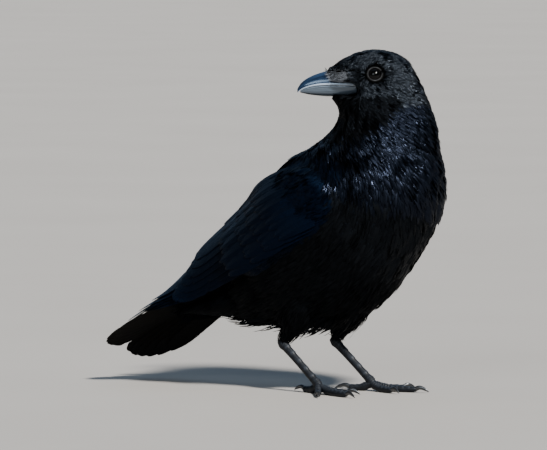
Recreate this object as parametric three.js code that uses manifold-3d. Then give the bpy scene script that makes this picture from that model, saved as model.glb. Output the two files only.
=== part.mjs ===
// A carrion crow, life size, standing on both feet and looking back over its right shoulder.
// Millimetres, +Z up. The trunk heads along +X, so the bird's right is -Y and its left is +Y.
// The whole group is shifted at the end, so that the origin is the middle of the base.
import * as THREE from "three";
import { mergeVertices } from "three/addons/utils/BufferGeometryUtils.js";
import Module from "manifold-3d";

const wasm = await Module();
wasm.setup();

// ---- driving dimensions ----
const GAP = 0.3; // between pieces that meet
const HEAD_TURN = 27; // degrees: the bill points this far past straight back, towards the bird's right
const RING_SIDES = 20; // facets round the body
const FEATHER_THICKNESS = 0.7;
const FEATHER_LAYER = 1.45; // from one stacked feather to the next

const rad = THREE.MathUtils.degToRad;
const V = (x, y, z) => new THREE.Vector3(x, y, z);
const lerp = THREE.MathUtils.lerp;
const clamp = THREE.MathUtils.clamp;
const smooth = THREE.MathUtils.smoothstep;

// ---- solids ----
// A closed solid from numbered corners and triangles.
function solidFrom(points, triangles) {
  const vertProperties = new Float32Array(points.flatMap((p) => [p.x, p.y, p.z]));
  const made = new wasm.Manifold(
    new wasm.Mesh({ numProp: 3, vertProperties, triVerts: new Uint32Array(triangles.flat()) }),
  );
  return made.volume() < 0 ? solidFrom(points, triangles.map(([a, b, c]) => [a, c, b])) : made;
}

// A closed solid from one of three.js's own geometries.
function solidOf(geometry) {
  geometry.deleteAttribute("normal");
  geometry.deleteAttribute("uv");
  const merged = mergeVertices(geometry, 1e-4);
  const at = merged.getAttribute("position");
  const points = Array.from({ length: at.count }, (_, i) => V().fromBufferAttribute(at, i));
  const index = Array.from(merged.index.array);
  const triangles = [];
  for (let i = 0; i < index.length; i += 3) triangles.push(index.slice(i, i + 3));
  return solidFrom(points, triangles);
}

// A skin over a row of rings, each an array of the same number of points, with a fan closing each end.
function loft(rings) {
  const sides = rings[0].length;
  const points = rings.flat();
  const triangles = [];
  for (let r = 0; r + 1 < rings.length; r++)
    for (let i = 0; i < sides; i++) {
      const [a, b] = [r * sides + i, r * sides + ((i + 1) % sides)];
      triangles.push([a, b, a + sides], [b, b + sides, a + sides]);
    }
  for (const [r, turn] of [[0, false], [rings.length - 1, true]]) {
    const middle = points.length;
    points.push(rings[r].reduce((sum, p) => sum.add(p), V(0, 0, 0)).divideScalar(sides));
    for (let i = 0; i < sides; i++) {
      const [a, b] = [r * sides + i, r * sides + ((i + 1) % sides)];
      triangles.push(turn ? [a, b, middle] : [b, a, middle]);
    }
  }
  return solidFrom(points, triangles);
}

// A limb: round rings square to a path, with the radius at each of its points.
function limb(path, radii, { sides = 10, steps = 12, flatten = 1 } = {}) {
  const curve = new THREE.CatmullRomCurve3(path, false, "centripetal");
  const rings = [];
  let across = null;
  for (let k = 0; k <= steps; k++) {
    const at = (k / steps) * (radii.length - 1);
    const i = Math.min(Math.floor(at), radii.length - 2);
    const radius = lerp(radii[i], radii[i + 1], smooth(at - i, 0, 1));
    const centre = curve.getPoint(k / steps);
    const along = curve.getTangent(k / steps);
    across = across ?? along.clone().cross(V(0, 0, 1)).normalize();
    across.addScaledVector(along, -across.dot(along)).normalize();
    const up = along.clone().cross(across);
    rings.push(
      Array.from({ length: sides }, (_, s) => {
        const turn = (2 * Math.PI * s) / sides;
        return centre
          .clone()
          .addScaledVector(across, Math.cos(turn) * radius * flatten)
          .addScaledVector(up, Math.sin(turn) * radius);
      }),
    );
  }
  return loft(rings);
}

// A sheet with thickness over a grid: place(j, k, lift) gives the point of row j and column k.
function sheet(rows, columns, place, thickness) {
  const points = [];
  for (const lift of [thickness, 0])
    for (let j = 0; j <= rows; j++) for (let k = 0; k <= columns; k++) points.push(place(j, k, lift));
  const layer = (rows + 1) * (columns + 1);
  const at = (j, k, low) => low * layer + j * (columns + 1) + k;
  const triangles = [];
  const quad = (a, b, c, d) => triangles.push([a, b, c], [a, c, d]);
  for (let j = 0; j < rows; j++)
    for (let k = 0; k < columns; k++) {
      quad(at(j, k, 0), at(j, k + 1, 0), at(j + 1, k + 1, 0), at(j + 1, k, 0));
      quad(at(j, k, 1), at(j + 1, k, 1), at(j + 1, k + 1, 1), at(j, k + 1, 1));
    }
  for (let j = 0; j < rows; j++) {
    quad(at(j, 0, 0), at(j + 1, 0, 0), at(j + 1, 0, 1), at(j, 0, 1));
    quad(at(j + 1, columns, 0), at(j, columns, 0), at(j, columns, 1), at(j + 1, columns, 1));
  }
  for (let k = 0; k < columns; k++) {
    quad(at(0, k + 1, 0), at(0, k, 0), at(0, k, 1), at(0, k + 1, 1));
    quad(at(rows, k, 0), at(rows, k + 1, 0), at(rows, k + 1, 1), at(rows, k, 1));
  }
  return solidFrom(points, triangles);
}

// What is left of a solid when tools are cut away, without loose crumbs.
function carve(solid, ...tools) {
  const left = tools.reduce((rest, tool) => rest.subtract(tool), solid);
  return left.decompose().sort((a, b) => b.volume() - a.volume())[0];
}

// ---- body: one outline from the rump to the forehead, in rings that turn with the bend of the neck ----
// Each ring leans from the back (or throat) to the belly (or nape): x, y, z of its middle, the lean below
// level in degrees, half its depth that way, half its width, and how far it is turned towards the head.
const STATIONS = [
  { x: -97, y: 0, z: 87.5, lean: 85, half: 23, side: 23, turn: 0 }, // rump
  { x: -79, y: 0, z: 97, lean: 77, half: 41, side: 34, turn: 0 },
  { x: -59, y: 0, z: 109, lean: 72, half: 56.5, side: 43, turn: 0 },
  { x: -33, y: 0, z: 121, lean: 65, half: 71.5, side: 50, turn: 0 },
  { x: -5.3, y: 0, z: 135.3, lean: 57, half: 79.5, side: 54, turn: 0 },
  { x: 17.7, y: 0, z: 155, lean: 49, half: 78, side: 56, turn: 0 },
  { x: 38.6, y: 0, z: 177, lean: 39, half: 71.2, side: 55, turn: 0 },
  { x: 53.2, y: 0, z: 197.4, lean: 31, half: 64.7, side: 52, turn: 3 }, // shoulders
  { x: 59.5, y: -0.5, z: 217, lean: 24, half: 56.5, side: 47, turn: 8 },
  { x: 58.8, y: -0.8, z: 233, lean: 16, half: 49, side: 42, turn: 14 },
  { x: 58.3, y: -1.6, z: 247, lean: 7, half: 44.7, side: 38, turn: 20 },
  { x: 54.1, y: -3.4, z: 261.1, lean: -4, half: 41.3, side: 33, turn: 25 }, // jaw
  { x: 48.8, y: -5.9, z: 273.1, lean: -16, half: 39.6, side: 27, turn: 27 },
  { x: 43.4, y: -8.7, z: 283, lean: -28, half: 38.1, side: 23.5, turn: 27 },
  { x: 36.3, y: -12.3, z: 287.2, lean: -39, half: 32.9, side: 21, turn: 27 },
  { x: 27.6, y: -17, z: 288.4, lean: -51, half: 26.6, side: 18.3, turn: 27 },
  { x: 18.2, y: -21.7, z: 286, lean: -63, half: 19, side: 14.2, turn: 27 },
  { x: 12.5, y: -24.7, z: 285.4, lean: -72, half: 10, side: 9, turn: 27 }, // forehead
];
const NECK_START = 7;
const HEAD_START = 11;
const FOREHEAD = STATIONS.length - 1;

const stationCurves = Object.fromEntries(
  Object.keys(STATIONS[0]).map((key) => [
    key,
    (t) => {
      const i = clamp(Math.floor(t), 0, STATIONS.length - 2);
      const [a, b, c, d] = [i - 1, i, i + 1, i + 2].map(
        (n) => STATIONS[clamp(n, 0, STATIONS.length - 1)][key],
      );
      const f = t - i;
      return (
        0.5 * (2 * b + (c - a) * f + (2 * a - 5 * b + 4 * c - d) * f * f + (3 * b - a - 3 * c + d) * f ** 3)
      );
    },
  ]),
);

// The ring at station t, moved along the body by shift and made larger all round by grow.
function bodyRing(t, shift = 0, grow = 0) {
  const at = Object.fromEntries(Object.entries(stationCurves).map(([key, f]) => [key, f(t)]));
  const turn = rad(at.turn);
  const lean = rad(at.lean);
  const ahead = V(Math.cos(turn), Math.sin(turn), 0);
  const outward = ahead.clone().multiplyScalar(Math.cos(lean)).add(V(0, 0, -Math.sin(lean)));
  const aside = V(Math.sin(turn), -Math.cos(turn), 0);
  const along = outward.clone().cross(aside).multiplyScalar(-1);
  const centre = V(at.x, at.y, at.z).addScaledVector(along, shift);
  return Array.from({ length: RING_SIDES }, (_, i) => {
    const a = (2 * Math.PI * i) / RING_SIDES;
    return centre
      .clone()
      .addScaledVector(outward, Math.cos(a) * (at.half + grow))
      .addScaledVector(aside, Math.sin(a) * (at.side + grow));
  });
}

// The body from station a to station b, with half a gap left at each end.
function bodyPart(a, b, stepsPerStation, grow = 0) {
  const steps = Math.round((b - a) * stepsPerStation);
  const rings = [];
  for (let k = 0; k <= steps; k++) {
    const shift = grow ? 0 : k === 0 ? GAP / 2 : k === steps ? -GAP / 2 : 0;
    rings.push(bodyRing(lerp(a, b, k / steps), shift, grow));
  }
  return loft(rings);
}

// ---- head: bill, eyes, and the bristles that lie over the bill's base ----
const headYaw = rad(HEAD_TURN);
const BILL_AHEAD = V(-Math.cos(headYaw), -Math.sin(headYaw), 0);
const BILL_LEFT = V(Math.sin(headYaw), -Math.cos(headYaw), 0);
const GAPE = V(33.4, -14, 276.7); // middle of the head, level with the closed mouth's corners
const headPoint = (ahead, left, up) =>
  GAPE.clone().addScaledVector(BILL_AHEAD, ahead).addScaledVector(BILL_LEFT, left).add(V(0, 0, up));

// Heights are above the closed mouth's line, and distances are ahead of its corners.
const BILL = [
  { ahead: 0, culmen: 10, mouth: 0, keel: -5, width: 11 },
  { ahead: 8, culmen: 15, mouth: 0, keel: -8.9, width: 10.4 },
  { ahead: 16, culmen: 14.6, mouth: 0, keel: -9.8, width: 9 },
  { ahead: 26, culmen: 12.4, mouth: 0, keel: -9.8, width: 7.6 },
  { ahead: 34, culmen: 10.2, mouth: -0.3, keel: -9.2, width: 6.2 },
  { ahead: 41, culmen: 7.4, mouth: -1.4, keel: -8.4, width: 4.8 },
  { ahead: 46.5, culmen: 4.2, mouth: -3, keel: -7.4, width: 3.5 },
  { ahead: 50.4, culmen: 0.6, mouth: -4.9, keel: -6.6, width: 2.2 },
  { ahead: 53, culmen: -3.6, mouth: -7, keel: -6.6, width: 1.0 },
];
const BILL_SIDES = 8;

// Half of the bill, arched away from the mouth's line: up is 1 for the upper half and -1 for the lower.
function billHalf(up, grow = 0) {
  const stations = up > 0 ? BILL : BILL.slice(0, -1);
  const rings = stations.map(({ ahead, culmen, mouth, keel, width }) => {
    const edge = mouth + (up * GAP) / 2 - up * grow;
    const height = Math.max((up > 0 ? culmen - edge : edge - keel) + grow, 0.5);
    const half = width * (up > 0 ? 1 : 0.92) + grow;
    const arch = Array.from({ length: BILL_SIDES + 1 }, (_, i) => {
      const a = (Math.PI * i) / BILL_SIDES;
      const side = Math.sign(Math.cos(a)) * Math.abs(Math.cos(a)) ** 0.8;
      return headPoint(ahead, half * side, edge + up * height * Math.sin(a) ** 0.85);
    });
    return [...arch, headPoint(ahead, 0, edge)];
  });
  return loft(rings);
}

const EYE_RADIUS = 8;
const EYE = { ahead: -15.8, left: 14, up: 11 };
const eyeBall = (side, grow = 0) =>
  solidOf(new THREE.SphereGeometry(EYE_RADIUS + grow, 12, grow ? 6 : 8)).translate(
    headPoint(EYE.ahead, side * EYE.left, EYE.up).toArray(),
  );

// The hollow in the feathers round each eye.
const orbit = (side) =>
  solidOf(new THREE.SphereGeometry(1, 12, 7))
    .scale([9.5, 7.4, 8.8])
    .rotate([0, 0, HEAD_TURN])
    .translate(headPoint(EYE.ahead, side * (EYE.left + 12), EYE.up).toArray());

// Beside the bill the feathers stop at the corner of the mouth and leave its sides bare.
const billSide = (side) =>
  loft(
    [-1, 40].map((ahead) =>
      [[7, -8.6], [30, -8.6], [30, 2.6], [7, 2.6]].map(([left, up]) => headPoint(ahead, side * left, up)),
    ),
  );

// Stiff bristles grow forward from the forehead and hide the nostrils, down to near the mouth's line.
const BRISTLES = [
  { ahead: 2, low: 2.2, high: 16.4, width: 13.2 },
  { ahead: 10, low: 2.4, high: 17, width: 12 },
  { ahead: 18, low: 3, high: 17.6, width: 10.4 },
  { ahead: 24, low: 4.4, high: 16, width: 9 },
  { ahead: 28, low: 6, high: 13.2, width: 7.4 },
];
function bristlePad() {
  return loft(
    BRISTLES.map(({ ahead, low, high, width }) =>
      Array.from({ length: 10 }, (_, i) => {
        const a = (2 * Math.PI * i) / 10;
        return headPoint(ahead, width * Math.cos(a), (high + low) / 2 + ((high - low) / 2) * Math.sin(a));
      }),
    ),
  );
}

// The feathered chin reaches forward under the lower half of the bill.
const chin = () =>
  limb(
    [headPoint(-12, 0, -9), headPoint(6, 0, -10.5), headPoint(23, 0, -11.2)],
    [13, 9, 2.2],
    { sides: 10, steps: 5 },
  );

// ---- wings: folded, each on one curved sheet from its lower edge up to the middle of the back ----
const WING_LOW = [
  V(48, -54, 167), V(-1, -59.5, 140), V(-60, -55, 106),
  V(-126, -39.5, 79.5), V(-161, -33.5, 74), V(-194, -25, 56),
];
const WING_HIGH = [
  V(-7, -34, 215.5), V(-55, -22, 190), V(-82, -8, 166),
  V(-121, -7, 130), V(-162, -10, 84), V(-196, -14, 57),
];
const WING_BULGE = [12, 11, 10, 4, 1.2, 0.6]; // how far the middle stands out from a straight line
const lowEdge = new THREE.CatmullRomCurve3(WING_LOW);
const highEdge = new THREE.CatmullRomCurve3(WING_HIGH);
const bulgeCurve = new THREE.SplineCurve(WING_BULGE.map((b, i) => new THREE.Vector2(i, b)));

// The point at s from the shoulder to the wing tip and t from the lower edge up, on the right wing.
function wingSheet(s, t) {
  const [low, high] = [lowEdge.getPoint(clamp(s, 0, 1)), highEdge.getPoint(clamp(s, 0, 1))];
  const chord = high.clone().sub(low);
  const along = lowEdge.getTangent(clamp(s, 0, 1)).add(highEdge.getTangent(clamp(s, 0, 1)));
  const out = chord.clone().cross(along).normalize();
  const bulge = bulgeCurve.getPoint(clamp(s, 0, 1)).y * Math.sin(Math.PI * clamp(t, 0, 1));
  return low.addScaledVector(chord, t).addScaledVector(out, out.y > 0 ? -bulge : bulge);
}

// The same with a lift off the sheet, for the bird's right (side -1) or left (side 1).
function wingPoint(side, s, t, lift) {
  const e = 0.01;
  const p = wingSheet(s, t);
  const ds = wingSheet(Math.min(s + e, 1), t).sub(wingSheet(Math.max(s - e, 0), t));
  const dt = wingSheet(s, t + e).sub(wingSheet(s, t - e));
  const normal = dt.cross(ds).normalize();
  if (normal.y > 0) normal.negate();
  p.addScaledVector(normal, lift);
  return side < 0 ? p : V(p.x, -p.y, p.z);
}
const wingChord = (s) => lowEdge.getPoint(s).distanceTo(highEdge.getPoint(s));

// Where the coverts end and the long feathers show.
const COVERT_END = 0.4;
function wingCoverts(side, bodyTool) {
  const [rows, columns] = [8, 6];
  const shell = sheet(
    rows,
    columns,
    (j, k, lift) => {
      const s = COVERT_END * (j / rows) ** 1.4;
      const rounded = Math.sqrt(1 - (1 - clamp(s / 0.16, 0, 1)) ** 2);
      const across = 0.55 + (k / columns - 0.55) * lerp(0.3, 1, rounded);
      const rim = Math.sin(Math.PI * lerp(0.06, 0.94, k / columns)) ** 0.4;
      return wingPoint(side, s, across, lerp(-9, 2.5 * rim, lift));
    },
    1,
  );
  return carve(shell, bodyTool);
}

// Long wing feathers, from the lowest layer, the outermost primary, to the topmost, the inner tertial.
// tip: how far along the wing it ends; base and end: the height across the wing at its root and tip.
const WING_FEATHERS = [
  { name: "primary_9", tip: 0.92, base: 0.24, end: 0.52, width: 8 },
  { name: "primary_8", tip: 0.98, base: 0.26, end: 0.54, width: 9 },
  { name: "primary_7", tip: 1.0, base: 0.26, end: 0.54, width: 11 },
  { name: "primary_6", tip: 0.93, base: 0.33, end: 0.62, width: 12 },
  { name: "primary_5", tip: 0.85, base: 0.4, end: 0.7, width: 13 },
  { name: "secondary_2", tip: 0.6, base: 0.4, end: 0.5, width: 22 },
  { name: "secondary_1", tip: 0.63, base: 0.58, end: 0.64, width: 23 },
  { name: "tertial", tip: 0.65, base: 0.78, end: 0.8, width: 24 },
];

const WING_ROWS = [0.404, 0.47, 0.54, 0.61, 0.68, 0.75, 0.82, 0.89]; // along the wing, shared by all
const PRIMARIES_RISE = 5; // past the shorter feathers the primaries come up by as many layers

function wingFeather(side, feather, layer) {
  const rows = WING_ROWS.filter((s) => s < feather.tip - 0.06);
  rows.push(feather.tip - 0.05, feather.tip - 0.02, feather.tip);
  const columns = feather.width > 20 ? 3 : 2;
  return sheet(
    rows.length - 1,
    columns,
    (j, k, lift) => {
      const s = rows[j];
      const f = (s - rows[0]) / (feather.tip - rows[0]);
      const round = Math.sqrt(Math.max(1 - clamp((f - 0.6) / 0.405, 0, 1) ** 2, 0.012));
      const half = (feather.width * round) / wingChord(s);
      const middle = lerp(feather.base, feather.end, f);
      const t = clamp(middle + half * ((2 * k) / columns - 1), 0.015, 0.985);
      const stack = layer + 1 - WING_FEATHERS.length + PRIMARIES_RISE * smooth(s, 0.5, 1);
      return wingPoint(side, s, t, stack * FEATHER_LAYER + lift);
    },
    FEATHER_THICKNESS,
  );
}

// ---- tail: twelve feathers in a fan, rolled so that the left side hangs lower ----
const TAIL = {
  base: V(-43, 0, 127.5),
  slope: 28, // below level
  roll: 22,
  swing: 2, // towards the left
  lengths: [199, 201, 200, 196, 189, 177], // from the inner feather to the outer
  first: { right: 2.6, left: 4.6 }, // degrees from the middle to the inner feather
  step: 1.85, // degrees from one feather to the next
  inner: 15, // width of the vane on the side of the middle
  outer: 8,
  start: 62, // the rump hides them up to here
  layer: 1.2, // from one feather to the next
};
const tailBack = V(-Math.cos(rad(TAIL.slope)), 0, -Math.sin(rad(TAIL.slope)));
const tailFlat = V(-Math.sin(rad(TAIL.slope)), 0, Math.cos(rad(TAIL.slope)));
const tailLeft = V(0, Math.cos(rad(TAIL.roll)), 0).addScaledVector(tailFlat, -Math.sin(rad(TAIL.roll)));
const tailUp = tailBack.clone().cross(tailLeft).negate();
const tailPoint = (back, left, up) =>
  TAIL.base
    .clone()
    .addScaledVector(tailBack, back)
    .addScaledVector(tailLeft, left + back * Math.sin(rad(TAIL.swing)))
    .addScaledVector(tailUp, up);

// The fan is arched.
const tailSag = (left) => 0.0008 * left * left;

// Number 1 is the inner feather, on top of the stack.
function tailFeather(side, number) {
  const [rows, columns] = [6, 2];
  const angle = rad(TAIL.first[side < 0 ? "right" : "left"] + TAIL.step * (number - 1));
  return sheet(
    rows,
    columns,
    (j, k, lift) => {
      const f = j / rows;
      const along = lerp(TAIL.start, TAIL.lengths[number - 1], 1 - (1 - f) ** 1.3);
      const round = Math.sqrt(Math.max(1 - clamp((f - 0.6) / 0.405, 0, 1) ** 2.4, 0.04));
      const middle = along * Math.sin(angle);
      const inner = Math.min(TAIL.inner * round, middle - GAP / 2 - 0.1);
      const outer = TAIL.outer * round * smooth(along, 0, 110);
      const left = middle + [-inner, 0, outer][k];
      const down = tailSag(left) + number * TAIL.layer;
      return tailPoint(along * Math.cos(angle), side * left, lift - down);
    },
    FEATHER_THICKNESS,
  );
}

// Soft feathers under the base of the tail, ending in a point on its right.
const COVERTS_UNDER = [
  { back: 58, left: 0, up: -25, half: 19, side: 23 },
  { back: 78, left: -5, up: -21, half: 13.5, side: 21 },
  { back: 98, left: -11, up: -16.5, half: 8, side: 17 },
  { back: 113, left: -15, up: -13, half: 4, side: 11 },
  { back: 124, left: -17, up: -11.4, half: 1.6, side: 5 },
];
const UNDER_TAIL = -6 * TAIL.layer - FEATHER_THICKNESS - GAP; // just below the outermost tail feather
function tailCoverts(bodyTool) {
  const rings = COVERTS_UNDER.map(({ back, left, up, half, side }) =>
    Array.from({ length: 12 }, (_, i) => {
      const a = (2 * Math.PI * i) / 12;
      const across = left + side * Math.cos(a);
      const top = UNDER_TAIL - tailSag(across - 6);
      return tailPoint(back, across, Math.min(up + half * Math.sin(a), top));
    }),
  );
  return carve(loft(rings), bodyTool);
}

// ---- legs ----
const LEGS = [
  {
    name: "right",
    hip: V(-1, -20, 108),
    hock: V(-36.5, -23, 44),
    ankle: V(2, -28.3, 8.7),
    heading: -27, // of the middle toe
  },
  { name: "left", hip: V(27, 19, 108), hock: V(-5.5, 20, 44), ankle: V(33, 17, 8.7), heading: 6 },
];
const TOES = [
  // spread from the middle toe, length, radius at its root and its end, number of pads, claw length
  { name: "inner", spread: 32, length: 30, root: 3.2, end: 2.5, pads: 2, claw: 12 },
  { name: "middle", spread: 0, length: 43, root: 3.5, end: 2.6, pads: 3, claw: 13.5 },
  { name: "outer", spread: -36, length: 32, root: 3.1, end: 2.4, pads: 3, claw: 11.5 },
  { name: "hind", spread: 180, length: 21, root: 3.6, end: 2.9, pads: 1, claw: 16 },
];
const TOE_CENTRE = 2.6; // height of a toe's middle over the ground
const PAD = 0.75; // how far the pads stand out

function thigh(leg, bodyTool) {
  const knee = leg.hip.clone().lerp(leg.hock, 0.55).add(V(2, 0, 0));
  const end = leg.hock.clone().lerp(leg.hip, 0.06);
  return carve(limb([leg.hip, knee, end], [26, 17.5, 7.4], { sides: 10, steps: 6 }), bodyTool);
}

function shank(leg, grow = 0) {
  const along = leg.ankle.clone().sub(leg.hock);
  const at = (f) => leg.hock.clone().addScaledVector(along, f);
  return limb(
    [at(-0.06), at(0.04), at(0.16), at(0.5), at(0.85), at(0.97), at(1.05)],
    [3.4, 5, 4, 3.5, 3.7, 4.6, 3.4].map((r) => r + grow),
    { sides: 8, steps: 9, flatten: 0.9 },
  );
}

function toeAxis(leg, toe) {
  const way = rad(leg.heading + (leg.name === "right" ? 1 : -1) * toe.spread);
  return V(Math.cos(way), Math.sin(way), 0);
}

// A coarse toe, without pads and grown all round, is the tool that cuts its neighbours.
function toeSolid(leg, toe, grow = 0) {
  const way = toeAxis(leg, toe);
  const root = V(leg.ankle.x, leg.ankle.y, 0);
  const at = (f, z) => root.clone().addScaledVector(way, toe.length * f).setZ(z);
  const steps = grow ? 5 : 7;
  const radii = Array.from({ length: steps + 1 }, (_, k) => {
    const f = k / steps;
    const pad = grow ? PAD : PAD * Math.sin(Math.PI * clamp(f * (toe.pads + 0.5) - 0.25, 0, toe.pads)) ** 2;
    return lerp(toe.root, toe.end, f) + pad + grow;
  });
  const knuckle = leg.ankle.clone().setZ(6.2);
  const path = [knuckle, at(0.2, 5), at(0.45, TOE_CENTRE + 0.5), at(1, TOE_CENTRE)];
  return limb(path, radii, { sides: grow ? 6 : 7, steps });
}

function claw(leg, toe) {
  const way = toeAxis(leg, toe);
  const root = V(leg.ankle.x, leg.ankle.y, 0);
  const at = (f, z) => root.clone().addScaledVector(way, toe.length - 1.5 + toe.claw * f).setZ(z);
  const path = [at(0, TOE_CENTRE + 0.6), at(0.35, TOE_CENTRE + 2.2), at(0.75, TOE_CENTRE + 0.6), at(1, 1.0)];
  return limb(path, [2.1, 1.8, 1.25, 0.35], { sides: 5, steps: 4, flatten: 0.75 });
}

const GROUND = solidOf(new THREE.BoxGeometry(400, 400, 40)).translate([0, 0, -20]);

// ---- assembly ----
const FINISHES = {
  plumage: { color: 0x0b0c10, roughness: 0.55, metalness: 0 },
  flight: { color: 0x0a0d14, roughness: 0.42, metalness: 0 },
  horn: { color: 0x16181c, roughness: 0.35, metalness: 0 },
  leg: { color: 0x1b1c1e, roughness: 0.6, metalness: 0 },
  eye: { color: 0x120c08, roughness: 0.08, metalness: 0 },
};
const crow = new THREE.Group();
crow.name = "carrion_crow";

function add(name, solid, finish) {
  const { vertProperties, triVerts, numProp } = solid.getMesh();
  const geometry = new THREE.BufferGeometry();
  const at = new Float32Array((vertProperties.length / numProp) * 3);
  for (let i = 0; i < at.length / 3; i++) {
    at.set(vertProperties.subarray(i * numProp, i * numProp + 3), 3 * i);
  }
  geometry.setAttribute("position", new THREE.BufferAttribute(at, 3));
  geometry.setIndex(new THREE.BufferAttribute(triVerts, 1));
  geometry.computeVertexNormals();
  const mesh = new THREE.Mesh(geometry, new THREE.MeshStandardMaterial(FINISHES[finish]));
  mesh.name = name;
  crow.add(mesh);
}

const grownBody = bodyPart(0, HEAD_START, 2, GAP);
const billTools = [billHalf(1, GAP), billHalf(-1, GAP)];
const eyeTools = [eyeBall(1, GAP), eyeBall(-1, GAP)];
const hollows = [orbit(1), orbit(-1), billSide(1), billSide(-1)];

const headFlesh = bodyPart(HEAD_START, FOREHEAD, 1.5).add(bristlePad()).add(carve(chin(), grownBody));
add("head", carve(headFlesh, ...billTools, ...eyeTools, ...hollows), "plumage");
add("neck", bodyPart(NECK_START, HEAD_START, 2), "plumage");
add("trunk", bodyPart(0, NECK_START, 2), "plumage");
add("tail_coverts_under", tailCoverts(grownBody), "plumage");
add("bill_upper", billHalf(1), "horn");
add("bill_lower", billHalf(-1), "horn");
add("eye_left", eyeBall(1), "eye");
add("eye_right", eyeBall(-1), "eye");

for (const [side, name] of [[-1, "right"], [1, "left"]]) {
  add(`wing_${name}_coverts`, wingCoverts(side, grownBody), "flight");
  WING_FEATHERS.forEach((feather, layer) =>
    add(`wing_${name}_${feather.name}`, carve(wingFeather(side, feather, layer), grownBody), "flight"),
  );
}
for (const [side, name] of [[-1, "right"], [1, "left"]])
  for (let number = 1; number <= TAIL.lengths.length; number++)
    add(`tail_${name}_${number}`, carve(tailFeather(side, number), grownBody), "flight");

for (const leg of LEGS) {
  add(`thigh_${leg.name}`, carve(thigh(leg, grownBody), shank(leg, GAP)), "plumage");
  add(`shank_${leg.name}`, shank(leg), "leg");
  TOES.forEach((toe, i) => {
    const before = TOES.slice(0, i).map((other) => toeSolid(leg, other, 2 * GAP));
    add(`toe_${leg.name}_${toe.name}`, carve(toeSolid(leg, toe), shank(leg, GAP), ...before, GROUND), "leg");
    add(`claw_${leg.name}_${toe.name}`, carve(claw(leg, toe), toeSolid(leg, toe, GAP), GROUND), "horn");
  });
}

// The origin is the middle of the base of the whole bird's box.
const box = new THREE.Box3().setFromObject(crow);
const middle = box.getCenter(V(0, 0, 0));
crow.position.set(-middle.x, -middle.y, -box.min.z);

export default crow;
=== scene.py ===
# %% [markdown]
# # A carrion crow, life size
# This lesson finishes a museum model of a carrion crow. It stands on both feet and looks back over
# its shoulder. The frame already holds every part as a plain solid, at its true size and place.
# Here the flesh becomes one skin, thousands of small feathers grow on that skin, the long wing and
# tail feathers get their vanes and shafts, and the bill, eyes and feet get their own surfaces.

import math

import bmesh
import bpy
import numpy as np
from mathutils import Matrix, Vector
from mathutils.bvhtree import BVHTree


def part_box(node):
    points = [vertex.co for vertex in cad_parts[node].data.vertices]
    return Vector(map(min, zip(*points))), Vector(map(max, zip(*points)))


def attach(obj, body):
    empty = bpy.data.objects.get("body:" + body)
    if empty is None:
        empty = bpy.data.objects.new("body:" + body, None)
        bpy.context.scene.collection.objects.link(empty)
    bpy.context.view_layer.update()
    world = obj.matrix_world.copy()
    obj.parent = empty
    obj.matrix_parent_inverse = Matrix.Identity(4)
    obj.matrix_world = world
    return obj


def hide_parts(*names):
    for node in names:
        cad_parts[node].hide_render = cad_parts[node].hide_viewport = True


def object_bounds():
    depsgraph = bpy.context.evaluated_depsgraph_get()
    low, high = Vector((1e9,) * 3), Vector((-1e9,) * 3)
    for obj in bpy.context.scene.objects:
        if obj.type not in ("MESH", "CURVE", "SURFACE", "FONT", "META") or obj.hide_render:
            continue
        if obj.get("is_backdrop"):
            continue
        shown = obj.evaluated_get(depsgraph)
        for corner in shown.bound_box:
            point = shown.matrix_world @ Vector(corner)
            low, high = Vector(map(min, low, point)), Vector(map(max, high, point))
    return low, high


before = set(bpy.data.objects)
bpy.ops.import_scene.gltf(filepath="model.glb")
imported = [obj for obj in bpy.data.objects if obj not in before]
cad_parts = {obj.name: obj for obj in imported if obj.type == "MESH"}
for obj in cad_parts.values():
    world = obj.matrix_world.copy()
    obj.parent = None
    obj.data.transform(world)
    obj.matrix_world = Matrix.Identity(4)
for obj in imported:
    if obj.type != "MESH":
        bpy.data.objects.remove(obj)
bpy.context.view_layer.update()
print("solids in the frame:", len(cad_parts))

# %% [markdown]
# ## The bird's own axes
# A crow is easier to build in millimetres, from a point on its own body, than in metres from the
# middle of a table. The head has axes of its own too, because it is turned: along the bill, towards
# the left eye, and up. The left eyeball is in the frame and on the head's axes at once, so it tells
# where the bird's own origin lies.

# %% Units and axes
MM = 0.001
HEAD_TURN = math.radians(27)
AHEAD = np.array((-math.cos(HEAD_TURN), -math.sin(HEAD_TURN), 0.0))
LEFT = np.array((math.sin(HEAD_TURN), -math.cos(HEAD_TURN), 0.0))
UP = np.array((0.0, 0.0, 1.0))
GAPE = np.array((33.4, -14.0, 276.7))  # middle of the head, level with the corners of the mouth
EYE_AT = (-15.8, 14.0, 11.0)  # ahead of the gape, left of it and above it


def head_point(ahead, left, up):
    """A place on the head, from distances along its own axes."""
    ahead, left, up = (np.asarray(a, float)[..., None] for a in (ahead, left, up))
    return GAPE + ahead * AHEAD + left * LEFT + up * UP


low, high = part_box("eye_left")
ORIGIN = np.array((low + high) / 2) - head_point(*EYE_AT) * MM
print("the bird's origin lies at", (ORIGIN / MM).round(2), "mm in the frame")


def to_bird(points):
    """Frame metres to the bird's own millimetres."""
    return (np.asarray(points) - ORIGIN) / MM


def step(x, start, end):
    """Goes smoothly from 0 at start to 1 at end."""
    x = np.clip((np.asarray(x, float) - start) / (end - start), 0, 1)
    return x * x * (3 - 2 * x)


# %% [markdown]
# ## Camera, lights and floor
# The camera comes first, so that every later step can be looked at. It stands well back with a long
# lens, as one does with a shy bird, and that keeps the bill from looking too big. A black bird is
# seen by what it reflects, so each lamp has its own work. A strong one high in front of the right
# side draws the edges of the feathers, a weak blue one behind the left side gives the back its
# blue, a weak one beside the camera puts a sheen on the bill, and a faint cool sky fills the rest.

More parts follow.
